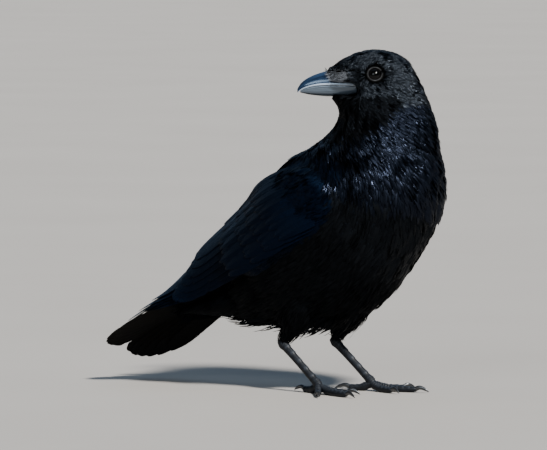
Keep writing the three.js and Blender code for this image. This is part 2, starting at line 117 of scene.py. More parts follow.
# %% The camera
AZIMUTH, ELEVATION = math.radians(27), math.radians(4)
DISTANCE = 5.0
VIEW_WIDTH = 0.4923  # of the picture, where the bird stands
AIM = ORIGIN + np.array((-50.0, -13.8, 149.0)) * MM
BACK = Vector(
    (
        math.sin(AZIMUTH) * math.cos(ELEVATION),
        -math.cos(AZIMUTH) * math.cos(ELEVATION),
        math.sin(ELEVATION),
    )
)


def link(obj):
    """Puts a new object into the scene."""
    bpy.context.scene.collection.objects.link(obj)
    return obj


camera = link(bpy.data.objects.new("camera", bpy.data.cameras.new("camera")))
camera.data.sensor_width = 36
camera.data.lens = camera.data.sensor_width * DISTANCE / VIEW_WIDTH
camera.location = Vector(AIM) + BACK * DISTANCE
camera.rotation_mode = "QUATERNION"
camera.rotation_quaternion = BACK.to_track_quat("Z", "Y")
bpy.context.scene.camera = camera
print("lens:", round(camera.data.lens), "mm")

# %% [markdown]
# ## Nodes in a few words
# Finishes and Geometry Nodes are both built from nodes. They could be wired by hand in Blender's
# editors, but a helper that adds a node and fills its sockets keeps a whole finish in a few lines.

# %% Helpers for nodes
def node(tree, kind, *inputs, named=None, **settings):
    """Adds a node, sets its properties, then joins or sets its inputs in order or by name."""
    made = tree.nodes.new(kind)
    for key, value in settings.items():
        setattr(made, key, value)
    given = list(zip(made.inputs, inputs))
    given += [(made.inputs[name], value) for name, value in (named or {}).items()]
    for socket, value in given:
        if isinstance(value, bpy.types.NodeSocket):
            tree.links.new(value, socket)
        elif value is not None:
            socket.default_value = value
    return made


def new_material(name, **sockets):
    """A material with one Principled shader, whose constant inputs are set by name."""
    material = bpy.data.materials.new(name)
    material.use_nodes = True
    shader = material.node_tree.nodes["Principled BSDF"]
    for key, value in sockets.items():
        shader.inputs[key.replace("_", " ")].default_value = value
    return material, material.node_tree, shader


def math_node(tree, operation, *values):
    return node(tree, "ShaderNodeMath", *values, operation=operation).outputs[0]


def ramp(tree, factor, *stops):
    """A colour ramp: stops are (place, colour)."""
    made = node(tree, "ShaderNodeValToRGB", factor)
    for stop in range(2, len(stops)):
        made.color_ramp.elements.new(stop / len(stops))
    for element, (place, colour) in zip(made.color_ramp.elements, stops):
        element.position = place
        element.color = (*colour, 1)
    return made.outputs["Color"]


def grey(value):
    return (value,) * 3


# %% Floor
floor_material, tree, shader = new_material("studio_floor", Roughness=0.85)
where = node(tree, "ShaderNodeTexCoord").outputs["Object"]
cloud = node(tree, "ShaderNodeTexNoise", where, named={"Scale": 3.0, "Detail": 4.0}).outputs["Fac"]
tint = ramp(tree, cloud, (0.3, (0.285, 0.268, 0.247)), (0.7, (0.3, 0.283, 0.262)))
tree.links.new(tint, shader.inputs["Base Color"])
FLOOR_RADIUS, FLOOR_SIDES = 22.0, 64
rim = [
    (FLOOR_RADIUS * math.cos(a), FLOOR_RADIUS * math.sin(a), 0)
    for a in np.linspace(0, 2 * math.pi, FLOOR_SIDES, endpoint=False)
]
floor_mesh = bpy.data.meshes.new("floor")
floor_mesh.from_pydata(rim, [], [list(range(FLOOR_SIDES))])
floor_mesh.materials.append(floor_material)
floor = link(bpy.data.objects.new("floor", floor_mesh))
floor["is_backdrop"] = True
print("floor:", 2 * FLOOR_RADIUS, "m wide")

# %% Lights
def lamp(name, azimuth, elevation, power, softness, colour):
    """A far lamp, by its direction: 0 is out from the bird's right side, and 90 is ahead of it."""
    light = bpy.data.lights.new(name, "SUN")
    light.energy = power
    light.angle = math.radians(softness)
    light.color = colour
    obj = link(bpy.data.objects.new(name, light))
    azimuth, elevation = math.radians(azimuth), math.radians(elevation)
    level = math.cos(elevation)
    towards = Vector((math.sin(azimuth) * level, -math.cos(azimuth) * level, math.sin(elevation)))
    obj.rotation_mode = "QUATERNION"
    obj.rotation_quaternion = towards.to_track_quat("Z", "Y")


lamp("key", 58, 45, 9.5, 8, (1.0, 0.98, 0.95))
lamp("sky", 215, 50, 0.7, 80, (0.35, 0.62, 1.0))
lamp("bill", 2, 24, 1.1, 25, (0.85, 0.93, 1.0))
world = bpy.data.worlds.new("studio")
bpy.context.scene.world = world
world.use_nodes = True
world.node_tree.nodes["Background"].inputs["Color"].default_value = (0.76, 0.86, 1.0, 1)
world.node_tree.nodes["Background"].inputs["Strength"].default_value = 0.12

# %% [markdown]
# ## Meshes from rows of points
# Almost every part of a bird is a row of cross-sections: a bill, a toe, a shaft, and even a long
# feather, which is a very flat one. So one helper joins closed rings into a tube, with a cap at each
# end. Modelling by hand would give the same shapes, but rows of points stay exact when a size
# changes.

# %% Closed tubes and plates
def map_points(mesh, places):
    """Fills the UV map 'vane' with one place for each point of the mesh."""
    layer = mesh.uv_layers.get("vane") or mesh.uv_layers.new(name="vane")
    loop_points = np.zeros(len(mesh.loops), np.int32)
    mesh.loops.foreach_get("vertex_index", loop_points)
    layer.data.foreach_set("uv", np.asarray(places)[loop_points].ravel())


def new_piece(name, points, faces, places):
    """A smooth mesh object from points in the bird's millimetres, and their places on its map."""
    mesh = bpy.data.meshes.new(name)
    mesh.from_pydata((np.asarray(points) * MM + ORIGIN).tolist(), [], faces)
    map_points(mesh, places)
    mesh.shade_smooth()
    return link(bpy.data.objects.new(name, mesh))


def tube_faces(rings, sides):
    """Quads between closed rings of points, and a fan at each end."""
    faces = []
    for r in range(rings - 1):
        for s in range(sides):
            a, b = r * sides + s, r * sides + (s + 1) % sides
            faces.append((a, b, b + sides, a + sides))
    first, last = rings * sides, rings * sides + 1
    for s in range(sides):
        n = (s + 1) % sides
        faces.append((first, n, s))
        faces.append((last, (rings - 1) * sides + s, (rings - 1) * sides + n))
    return faces


def outward(obj):
    """Turns every face of a closed mesh outwards."""
    work = bmesh.new()
    work.from_mesh(obj.data)
    bmesh.ops.recalc_face_normals(work, faces=work.faces)
    work.to_mesh(obj.data)
    work.free()
    return obj


def tube(name, rings):
    """A closed tube through rings of points, with the UV map 'vane' round and along it."""
    rings = np.asarray(rings, float)
    count, sides = rings.shape[:2]
    points = np.concatenate([rings.reshape(-1, 3), rings[:1].mean(1), rings[-1:].mean(1)])
    around = np.tile(np.arange(sides) / sides, count)
    along = np.repeat(np.linspace(0, 1, count), sides)
    uv = np.concatenate([np.stack([around, along], 1), [[0.5, 0], [0.5, 1]]])
    return outward(new_piece(name, points, tube_faces(count, sides), uv))


# %% A smooth curve through points
def catmull(points, u):
    """A smooth curve through a list of points, centripetal as hand-drawn ones are; u is 0 to 1."""
    points = np.asarray(points, float)
    points = np.concatenate([[2 * points[0] - points[1]], points, [2 * points[-1] - points[-2]]])
    u = np.clip(np.asarray(u, float), 0, 1) * (len(points) - 3)
    k = np.minimum(u.astype(int), len(points) - 4)
    w = (u - k)[..., None]
    a, b, c, d = (points[k + i] for i in range(4))
    pairs = ((a, b), (b, c), (c, d))
    gap = [np.maximum(np.sqrt(np.linalg.norm(q - p, axis=-1)), 1e-6)[..., None] for p, q in pairs]
    start = ((b - a) / gap[0] - (c - a) / (gap[0] + gap[1]) + (c - b) / gap[1]) * gap[1]
    end = ((c - b) / gap[1] - (d - b) / (gap[1] + gap[2]) + (d - c) / gap[2]) * gap[1]
    return (
        b + start * w + (3 * (c - b) - 2 * start - end) * w**2 + (2 * (b - c) + start + end) * w**3
    )


# %% [markdown]
# ## One skin under the feathers
# A live bird's neck, breast and thighs are one surface, with no seam. The frame's solids of flesh are
# copied, swollen by a third of a millimetre so that they overlap, and remeshed into a single body.
# That body is then drawn in by the depth of the plumage, because the feathers fill the space out
# again.
# Sculpting a new body would risk another outline; this one can't leave the solids' shape.

# %% The body
FLESH = ["head", "neck", "trunk", "tail_coverts_under", "thigh_left", "thigh_right"]
FLESH += ["wing_left_coverts", "wing_right_coverts"]
SWELL = 0.35 * MM
VOXEL = 1.7 * MM


def swollen(name):
    """A merged copy of a solid, grown along its normals."""
    work = bmesh.new()
    work.from_mesh(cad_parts[name].data)
    bmesh.ops.remove_doubles(work, verts=work.verts, dist=0.01 * MM)
    work.normal_update()
    for vertex in work.verts:
        vertex.co += vertex.normal * SWELL
    return work


def near_solid(name):
    work = swollen(name)
    tree = BVHTree.FromBMesh(work)
    work.free()
    return tree


def joined(names):
    """One mesh that holds the swollen copies side by side."""
    points, faces = [], []
    for name in names:
        work = swollen(name)
        start = len(points)
        points += [tuple(v.co) for v in work.verts]
        faces += [[start + v.index for v in face.verts] for face in work.faces]
        work.free()
    mesh = bpy.data.meshes.new("flesh")
    mesh.from_pydata(points, [], faces)
    return link(bpy.data.objects.new("flesh", mesh))


def baked(obj, name):
    """The object with its modifiers applied, as a plain mesh under a new name."""
    bpy.context.view_layer.update()
    graph = bpy.context.evaluated_depsgraph_get()
    mesh = bpy.data.meshes.new_from_object(obj.evaluated_get(graph))
    bpy.data.objects.remove(obj)
    return link(bpy.data.objects.new(name, mesh))


flesh = joined(FLESH)
remesh = flesh.modifiers.new("one body", "REMESH")
remesh.mode = "VOXEL"
remesh.voxel_size = VOXEL
skin = baked(flesh, "skin")
print("skin:", len(skin.data.vertices), "points")


# %% Reading and smoothing values on the skin
def coordinates(mesh, what="co", of="vertices"):
    values = np.zeros(3 * len(getattr(mesh, of)))
    getattr(mesh, of).foreach_get(what, values)
    return values.reshape(-1, 3)


def edges_of(mesh):
    pairs = np.zeros(2 * len(mesh.edges), np.int32)
    mesh.edges.foreach_get("vertices", pairs)
    return pairs.reshape(-1, 2)


def evened(values, edges, times):
    """Each value moves halfway to the mean of its neighbours, the given number of times."""
    values = np.array(values, float)
    flat = values.reshape(len(values), -1)
    ends = np.concatenate([edges, edges[:, ::-1]])
    count = np.bincount(ends[:, 0], minlength=len(flat))[:, None]
    for _ in range(times):
        total = np.stack(
            [np.bincount(ends[:, 0], column[ends[:, 1]], len(flat)) for column in flat.T], 1
        )
        flat = 0.5 * flat + 0.5 * total / count
    return flat.reshape(values.shape)


def unit(vectors):
    return vectors / np.maximum(np.linalg.norm(vectors, axis=-1, keepdims=True), 1e-9)


def normals_of(mesh):
    mesh.update()
    return coordinates(mesh, "vector", "vertex_normals")


edges = edges_of(skin.data)
SMOOTHINGS = 10
skin.data.vertices.foreach_set("co", evened(coordinates(skin.data), edges, SMOOTHINGS).ravel())
body = to_bird(coordinates(skin.data))
normals = normals_of(skin.data)
print("skin smoothed", SMOOTHINGS, "times, over", len(edges), "edges")

# %% Which solid each point of the skin belongs to
solids = {name: near_solid(name) for name in FLESH}
distances = np.array(
    [[solids[name].find_nearest(Vector(p))[3] for name in FLESH] for p in body * MM + ORIGIN]
)
nearest = distances.argmin(1)
part = {name: (nearest == i).astype(float) for i, name in enumerate(FLESH)}
part["thigh"] = part["thigh_left"] + part["thigh_right"]
part["wing"] = part["wing_left_coverts"] + part["wing_right_coverts"]
print({name: int(mask.sum()) for name, mask in part.items()})

# %% Blend the front of each wing into the body
to_wing = distances[:, -2:].min(1) / MM
to_trunk = distances[:, FLESH.index("trunk")] / MM
beside_border = (1 - step(np.maximum(to_wing, to_trunk), 5, 12)) * step(body[:, 0], -110, -60)
blend = evened(beside_border, edges, 6)[:, None]
body = body * (1 - blend) + evened(body, edges, 90) * blend
skin.data.vertices.foreach_set("co", (body * MM + ORIGIN).ravel())
normals = normals_of(skin.data)
print("points blended:", int((blend > 0.5).sum()))

# %% [markdown]
# ## How the plumage lies
# Feathers start at the bill and lie back towards the tail, like tiles on a curved roof. On this bird
# the neck is twisted, so its feathers run down in a spiral. The lie is worked out from a line
# through the middle of the body, a fan that opens at the mouth, and the two edges of each wing, and
# then it is pressed flat on the skin. A painted comb map would do as well, but not from numbers.

# %% The lines that the feathers follow
SPINE = [
    (8, -26, 279), (26, -17, 287), (42, -9.5, 281), (53, -4, 263), (58.5, -1.5, 245),
    (59.5, -0.5, 217), (50, 0, 192), (18, 0, 155), (-33, 0, 121), (-79, 0, 97), (-140, 0, 62),
]  # fmt: skip
WING_LOW = [
    (48, -54, 167), (-1, -59.5, 140), (-60, -55, 106),
    (-126, -39.5, 79.5), (-161, -33.5, 74), (-194, -25, 56),
]  # fmt: skip
WING_HIGH = [
    (-7, -34, 215.5), (-55, -22, 190), (-82, -8, 166),
    (-121, -7, 130), (-162, -10, 84), (-196, -14, 57),
]  # fmt: skip
HIP = {"left": (27, 19, 108), "right": (-1, -20, 108)}
HOCK = {"left": (-5.5, 20, 44), "right": (-36.5, -23, 44)}
ANKLE = {"left": (33, 17, 8.7), "right": (2, -28.3, 8.7)}
SIDES = {"left": 1, "right": -1}
EYE_TILT = math.radians(20)
EYE_SEAT = (EYE_AT[0], EYE_AT[1] + 0.8, EYE_AT[2] - 2.3)  # tilted about its front


def eye_axis(side):
    """The way the eye looks: out to its side and a little up, as the face narrows upwards."""
    return SIDES[side] * LEFT * math.cos(EYE_TILT) + UP * math.sin(EYE_TILT)


def followed(points, line, sharpness=4):
    """For each point: the line's direction, length so far, place and share, from what is near."""
    share = np.linspace(0, 1, 60)
    place = catmull(line, share)
    direction = unit(np.gradient(place, axis=0))
    so_far = np.concatenate([[0], np.linalg.norm(np.diff(place, axis=0), axis=1).cumsum()])
    gap = np.linalg.norm(points[:, None] - place, axis=2)
    weight = 1 / (gap**sharpness)
    weight /= weight.sum(1, keepdims=True)
    return unit(weight @ direction), weight @ so_far, weight @ place, weight @ share


def mirrored(line):
    return [(x, -y, z) for x, y, z in line]


# %% Lie down the neck and body
down, along, middle, _ = followed(body, SPINE)
TWIST = ([0, 40, 70, 110, 150, 400], [0, 0.2, 0.75, 0.55, 0, 0])  # along the spine, sideways pull
twist = np.interp(along, *TWIST)[:, None]
lie = down + twist * unit(np.cross(body - middle, down))
print("the line from the face to the tail is", along.max().round(), "mm long")

# %% Lie on the head
# The small feathers fan out from the mouth, but those over the nostrils, and the chin's, lie forwards.
head_offset = body - GAPE
ahead, above = head_offset @ AHEAD, head_offset @ UP
from_gape = np.linalg.norm(head_offset, axis=1)
fan = unit(body - head_point(6, 0, 2))
on_head = 1 - step(from_gape, 34, 66)
lie = lie * (1 - on_head[:, None]) + fan * on_head[:, None]

forward = step(ahead, -5, 0) * (1 - step(above, 12.5, 14.5)) * part["head"]
bristly = forward * step(above, 0, 3) * (1 - step(above, 13.2, 14.4)) * step(ahead, 2, 7)
bristly *= 1 - step(normals @ AHEAD, 0.6, 0.8)
lie = lie * (1 - forward[:, None]) + unit(AHEAD - 0.3 * UP) * forward[:, None]
brow = (step(ahead, -2, 8) * step(above, 12.5, 14.5))[:, None]
lie = lie * (1 - brow) + (0.3 * UP - AHEAD) * brow
chin = (step(ahead, 3, 9) * step(-above, 1, 4) * (1 - step(from_gape, 22, 30)))[:, None]
lie = lie * (1 - chin) + (AHEAD - 0.2 * UP) * chin

# %% Lie on the wings and thighs
wing_share, over_low_edge = np.zeros(len(body)), np.zeros(len(body))
for side, sign in SIDES.items():
    low_edge = followed(body, WING_LOW if sign < 0 else mirrored(WING_LOW))
    high_edge = followed(body, WING_HIGH if sign < 0 else mirrored(WING_HIGH))
    on_side = body[:, 1] * sign > 0
    wing_share[on_side] = (low_edge[3] + high_edge[3])[on_side] / 2
    over_low_edge[on_side] = (body - low_edge[2])[on_side, 2]
    mask = part[f"wing_{side}_coverts"][:, None]
    lie = lie * (1 - mask) + unit(low_edge[0] + high_edge[0]) * mask
    legward = unit(np.array(HOCK[side]) - np.array(HIP[side]))
    mask = part[f"thigh_{side}"][:, None]
    lie = lie * (1 - mask) + legward * mask
print("highest point over a wing's lower edge:", over_low_edge.max().round(), "mm")

# %% Lie round the eyes
# No feather may lie across an eye, so close to it they all point away from its axis.
off_eye = np.full(len(body), 99.0)
for side, sign in SIDES.items():
    from_eye = body - head_point(EYE_SEAT[0], sign * EYE_SEAT[1], EYE_SEAT[2])
    height = from_eye @ eye_axis(side)
    across = from_eye - height[:, None] * eye_axis(side)
    beside = np.where(height > 0, np.linalg.norm(across, axis=1), 99)
    off_eye = np.minimum(off_eye, beside)
    inward = np.minimum((lie * unit(across)).sum(1), 0)
    close = 1 - step(beside, 8, 15)
    lie = lie + ((0.35 - inward) * close)[:, None] * unit(across)

LIE_SMOOTHINGS = 12
lie = evened(unit(lie), edges, LIE_SMOOTHINGS)
print("points that the eyes turn:", int((off_eye < 15).sum()))

# %% [markdown]
# ## Size and depth of the plumage
# The smallest feathers sit round the bill and the eye, and they grow steadily down to the back and
# belly. The values are lists along the spine, so that one row reads like a tailor's measure: place
# from the bill, length, width and depth of the coat there.

# %% Sizes over the skin
PLUMES = np.array(
    [
        # along the spine, length, width, depth
        (0, 3.4, 0.8, 0.6),
        (20, 4.2, 0.95, 0.9),
        (45, 5.8, 1.25, 1.4),
        (75, 9.5, 1.9, 2.1),
        (105, 13.5, 2.5, 2.8),
        (140, 15.0, 2.9, 3.2),
        (185, 15.5, 3.0, 3.5),
        (250, 17.0, 3.6, 3.4),
        (330, 18.0, 4.4, 3.0),
    ]
)
WING_PLUME = (10.5, 3.0, 2.0)
THIGH_PLUME = (11.5, 1.9, 1.8)
BRISTLE = (7.5, 0.42, 0.8)
BELLY_NARROWING = 0.45
HOCK_SHORTENING = 0.2
FACE_SHORTENING = 0.62  # on the steep front of the face, where a long feather would pass the bill

plume = np.stack([np.interp(along, PLUMES[:, 0], PLUMES[:, i]) for i in (1, 2, 3)], 1)
for mask, size in ((part["wing"], WING_PLUME), (part["thigh"], THIGH_PLUME), (bristly, BRISTLE)):
    plume = plume * (1 - mask[:, None]) + np.array(size) * mask[:, None]
underside = step(-normals[:, 2], -0.1, 0.7) * step(along, 120, 200) * (1 - part["wing"])
plume[:, 1] *= 1 - BELLY_NARROWING * underside
to_hock = np.min([np.linalg.norm(body - np.array(h), axis=1) for h in HOCK.values()], axis=0)
near_hock = 1 - step(to_hock, 8, 30)
plume *= 1 - HOCK_SHORTENING * near_hock[:, None]
beside_bill = step(ahead, 8, 14) * step(above, 10, 12.5) + step(ahead, 10, 16) * step(-above, 2, 5)
plume *= 1 - FACE_SHORTENING * (beside_bill * (1 - step(from_gape, 25, 32)))[:, None]
plume = evened(plume, edges, LIE_SMOOTHINGS)

# Painted reflection of the sky's blue: full on the wings, more where a face looks up, none on bristles.
painted_sky_sheen = 0.75 * step(normals[:, 2], -0.5, 0.35) * (1 - 0.35 * part["head"])
painted_sky_sheen = np.maximum(painted_sky_sheen, part["wing"])
painted_sky_sheen = evened(painted_sky_sheen, edges, LIE_SMOOTHINGS) * (1 - bristly)
print("lengths:", plume[:, 0].min().round(1), "to", plume[:, 0].max().round(1), "mm")

# %% Draw the skin in by the depth of the coat
skin_points = body - normals * plume[:, 2:3]
skin.data.vertices.foreach_set("co", (skin_points * MM + ORIGIN).ravel())
out = unit(evened(normals_of(skin.data), edges, 4))
lie = unit(lie - out * (lie * out).sum(1, keepdims=True))


def keep(name, kind, values):
    """Stores one value for each point of the skin, for the nodes to read."""
    attribute = skin.data.attributes.new(name, kind, "POINT")
    attribute.data.foreach_set("value" if kind == "FLOAT" else "vector", np.ravel(values))


keep("lie", "FLOAT_VECTOR", lie)
keep("out", "FLOAT_VECTOR", out)
keep("painted_sky_sheen", "FLOAT", painted_sky_sheen)
keep("size", "FLOAT_VECTOR", plume[:, [1, 0, 0]] * MM)
print("skin drawn in by", plume[:, 2].min().round(2), "to", plume[:, 2].max().round(2), "mm")

# %% Unwrap the skin, so that every feather knows its place on it
bpy.context.view_layer.objects.active = skin
skin.select_set(True)
bpy.ops.object.mode_set(mode="EDIT")
bpy.ops.mesh.select_all(action="SELECT")
bpy.ops.uv.smart_project(angle_limit=math.radians(66), island_margin=0.004)
bpy.ops.object.mode_set(mode="OBJECT")
skin.data.uv_layers[0].name = "OFBake"
skin.data.shade_smooth()
print("skin unwrapped:", [layer.name for layer in skin.data.uv_layers])

# %% [markdown]
# ## The black of a crow
# A crow's feather is black all through, and all that the eye sees is gloss: a deep blue one on the
# back and wings, a paler and more violet one on the neck, a strong grey-blue one on the cheek, and
# hardly any on the throat and belly. So the colour stays close to black, the reflection carries the
# blue, and fine slanting barbs are raised on each vane. A faint blue is also painted into the black
# of the wings and of every upward face, a painted reflection of the sky. Thin film would give the
# same blue on one lamp only, so a tinted reflection is the steadier choice.

# %% Helpers for finishes
def stored(tree, name):
    return node(tree, "ShaderNodeAttribute", attribute_name=name).outputs["Fac"]


def vane_map(tree):
    """Where a point lies on its own piece, from 0 to 1: across or round it, and along it."""
    return node(tree, "ShaderNodeUVMap", uv_map="vane").outputs["UV"]


def bumped(tree, shader, height, strength, depth):
    """Raises a pattern on the surface, by a depth in millimetres."""
    settings = {"Strength": strength, "Distance": depth * MM, "Height": height}
    tree.links.new(node(tree, "ShaderNodeBump", named=settings).outputs[0], shader.inputs["Normal"])


def barbs(tree, count, slant):
    """Fine lines from the shaft out to both edges of a vane, between 0 and 1."""
    x, y = node(tree, "ShaderNodeSeparateXYZ", vane_map(tree)).outputs[:2]
    from_shaft = math_node(tree, "ABSOLUTE", math_node(tree, "SUBTRACT", x, 0.5))
    phase = math_node(tree, "MULTIPLY_ADD", y, count, math_node(tree, "MULTIPLY", from_shaft, -slant))
    wave = math_node(tree, "SINE", math_node(tree, "MULTIPLY", phase, 2 * math.pi))
    return math_node(tree, "MULTIPLY_ADD", wave, 0.5, 0.5), y


def mixed(tree, factor, first, second, blend="MIX"):
    made = node(tree, "ShaderNodeMix", data_type="RGBA", blend_type=blend)
    for socket, value in ((0, factor), (6, first), (7, second)):
        if isinstance(value, bpy.types.NodeSocket):
            tree.links.new(value, made.inputs[socket])
        else:
            made.inputs[socket].default_value = value if socket == 0 else (*value, 1)
    return made.outputs[2]


# %% The finish of a feather
def feather_finish(name, dull, bright, tint, shine, roughness, barb_count=14, barb_slant=9, edge=0.0):
    """Dull is the belly's black, bright the back's, with painted sky blue; tint colours its reflection.
    """
    material, tree, shader = new_material(name, Specular_IOR_Level=shine, Specular_Tint=(*tint, 1))
    tone = stored(tree, "tone")
    lines, to_tip = barbs(tree, barb_count, barb_slant)
    colour = mixed(tree, stored(tree, "painted_sky_sheen"), dull, bright)
    # Darker towards the root, and paler at the tip by edge.
    root_to_tip = ramp(tree, to_tip, (0.0, grey(0.35)), (0.55, grey(1.0)), (1.0, grey(1.0 + edge)))
    colour = mixed(tree, 1.0, colour, root_to_tip, "MULTIPLY")
    shade = math_node(tree, "MULTIPLY_ADD", tone, 0.9, 0.6)
    shade = node(tree, "ShaderNodeCombineColor", shade, shade, shade).outputs[0]
    tree.links.new(mixed(tree, 1.0, colour, shade, "MULTIPLY"), shader.inputs["Base Color"])
    rough = math_node(tree, "MULTIPLY_ADD", tone, 0.32, roughness - 0.13)
    rough = math_node(tree, "MULTIPLY_ADD", lines, 0.06, rough)
    tree.links.new(rough, shader.inputs["Roughness"])
    bumped(tree, shader, lines, 0.5, 0.12)
    return material


# %% Finishes of the coat
# BRIGHT is a black with a painted blue reflection of the sky in it.
DULL, BRIGHT = (0.0012, 0.0012, 0.0013), (0.0004, 0.001, 0.0022)
SKY_BLUE, PALE_BLUE, VIOLET_BLUE = (0.13, 0.37, 1.0), (0.55, 0.74, 1.0), (0.48, 0.61, 1.0)
GREY_BLUE, BROWN = (0.66, 0.8, 1.0), (1.0, 0.93, 0.85)
back_finish = feather_finish("plumage_blue_black", DULL, BRIGHT, SKY_BLUE, 0.09, 0.34)
neck_finish = feather_finish("plumage_black", DULL, BRIGHT, VIOLET_BLUE, 0.18, 0.24)
front_finish = feather_finish("plumage_front_black", DULL, BRIGHT, VIOLET_BLUE, 0.12, 0.26)
throat_finish = feather_finish("plumage_throat_black", DULL, DULL, PALE_BLUE, 0.04, 0.34)
mantle_finish = feather_finish("plumage_mantle_black", DULL, BRIGHT, SKY_BLUE, 0.05, 0.36)
breast_finish = feather_finish("plumage_breast_black", DULL, DULL, PALE_BLUE, 0.08, 0.28)
belly_finish = feather_finish("plumage_soft_black", DULL, DULL, PALE_BLUE, 0.04, 0.42)
head_finish = feather_finish("plumage_head_black", DULL, BRIGHT, GREY_BLUE, 0.2, 0.3)
cheek_finish = feather_finish("plumage_cheek_black", DULL, BRIGHT, GREY_BLUE, 0.34, 0.28)
bristle_finish = feather_finish("bristle_grey", (0.11, 0.117, 0.13), DULL, PALE_BLUE, 0.3, 0.4)
skin_finish, tree, shader = new_material("dark_down", Specular_IOR_Level=0.01)
where = node(tree, "ShaderNodeTexCoord").outputs["Object"]
down_noise = node(tree, "ShaderNodeTexNoise", where, named={"Scale": 900.0, "Detail": 3.0})
down_noise = down_noise.outputs["Fac"]
down_tone = ramp(tree, down_noise, (0.3, grey(0.0002)), (0.7, grey(0.0006)))
tree.links.new(down_tone, shader.inputs["Base Color"])
tree.links.new(math_node(tree, "MULTIPLY_ADD", down_noise, 0.15, 0.85), shader.inputs["Roughness"])
skin.data.materials.append(skin_finish)
print("finishes so far:", len(bpy.data.materials))

# %% [markdown]
# ## Feathers to copy
# A small feather is a flat blade with a raised shaft: three points in each cross-section are
# enough, since thousands of copies hide each other. A hackle is narrow and pointed, a body feather
# broad and round, a wisp of the belly loose and thin, and a bristle hardly wider than a hair. Each
# is about one unit long and wide, lies along Y, and bends down at the tip, as it does over a round
# body. The size stored on the skin stretches it.

# %% Blades
BLADE_ROWS = np.array((0.0, 0.3, 0.64, 0.9))
ROOT_DEPTH = 0.06  # how far under the skin a feather starts, as a share of its length


def blade(name, widths, bend, ridge=0.012):
    """A closed blade: widths at each row, and how far the tip bends down."""
    height = 0.3 * BLADE_ROWS * (1 - BLADE_ROWS) - bend * BLADE_ROWS**2 - ROOT_DEPTH
    rings = []
    for y, half, z in zip(BLADE_ROWS, np.array(widths) / 2, height):
        rings.append([(-half, y, z), (0, y, z + ridge), (half, y, z)])
    rings = np.array(rings)
    tip = (0, 1.0, -bend - ROOT_DEPTH)
    points = np.concatenate([rings.reshape(-1, 3), rings[:1].mean(1), [tip]])
    mesh = bpy.data.meshes.new(name)
    mesh.from_pydata(points.tolist(), [], tube_faces(len(rings), 3))
    map_points(mesh, points[:, :2] + (0.5, 0))
    mesh.shade_smooth()
    obj = outward(link(bpy.data.objects.new(name, mesh)))
    ends = edges_of(obj.data)
    on_edge = (ends % 3 != 1) | (ends >= rings.size // 3)
    sharp = obj.data.attributes.new("sharp_edge", "BOOLEAN", "EDGE")
    sharp.data.foreach_set("value", on_edge.all(1))
    return obj


hackle = blade("hackle", (0.35, 0.95, 0.95, 0.4), 0.1)
round_feather = blade("round_feather", (0.55, 1.45, 1.5, 0.95), 0.12, ridge=0.008)
wisp = blade("wisp", (0.5, 0.9, 0.7, 0.25), 0.06)
bristle = blade("bristle", (1.0, 0.9, 0.6, 0.25), 0.04, ridge=0.04)
print("faces of a blade:", len(hackle.data.polygons))

# %% [markdown]
# ## A tree of nodes that grows a coat
# Geometry Nodes scatter roots on the skin, no closer than a given spacing, and stand a blade on each
# one. The blade's axes come from the lie and the normal stored on the skin, so no feather is turned
# by hand. A slow noise rolls neighbours the same way, and so the coat parts into locks. Each feather
# also carries its root's place on the unwrapped skin, as a patch a few thousandths wide in the map
# OFBake.

# %% The tree
PATCH = 0.003
LOCK_SCALE, LOCK_ROLL = 0.18, 23.0  # of the locks in which neighbours roll together


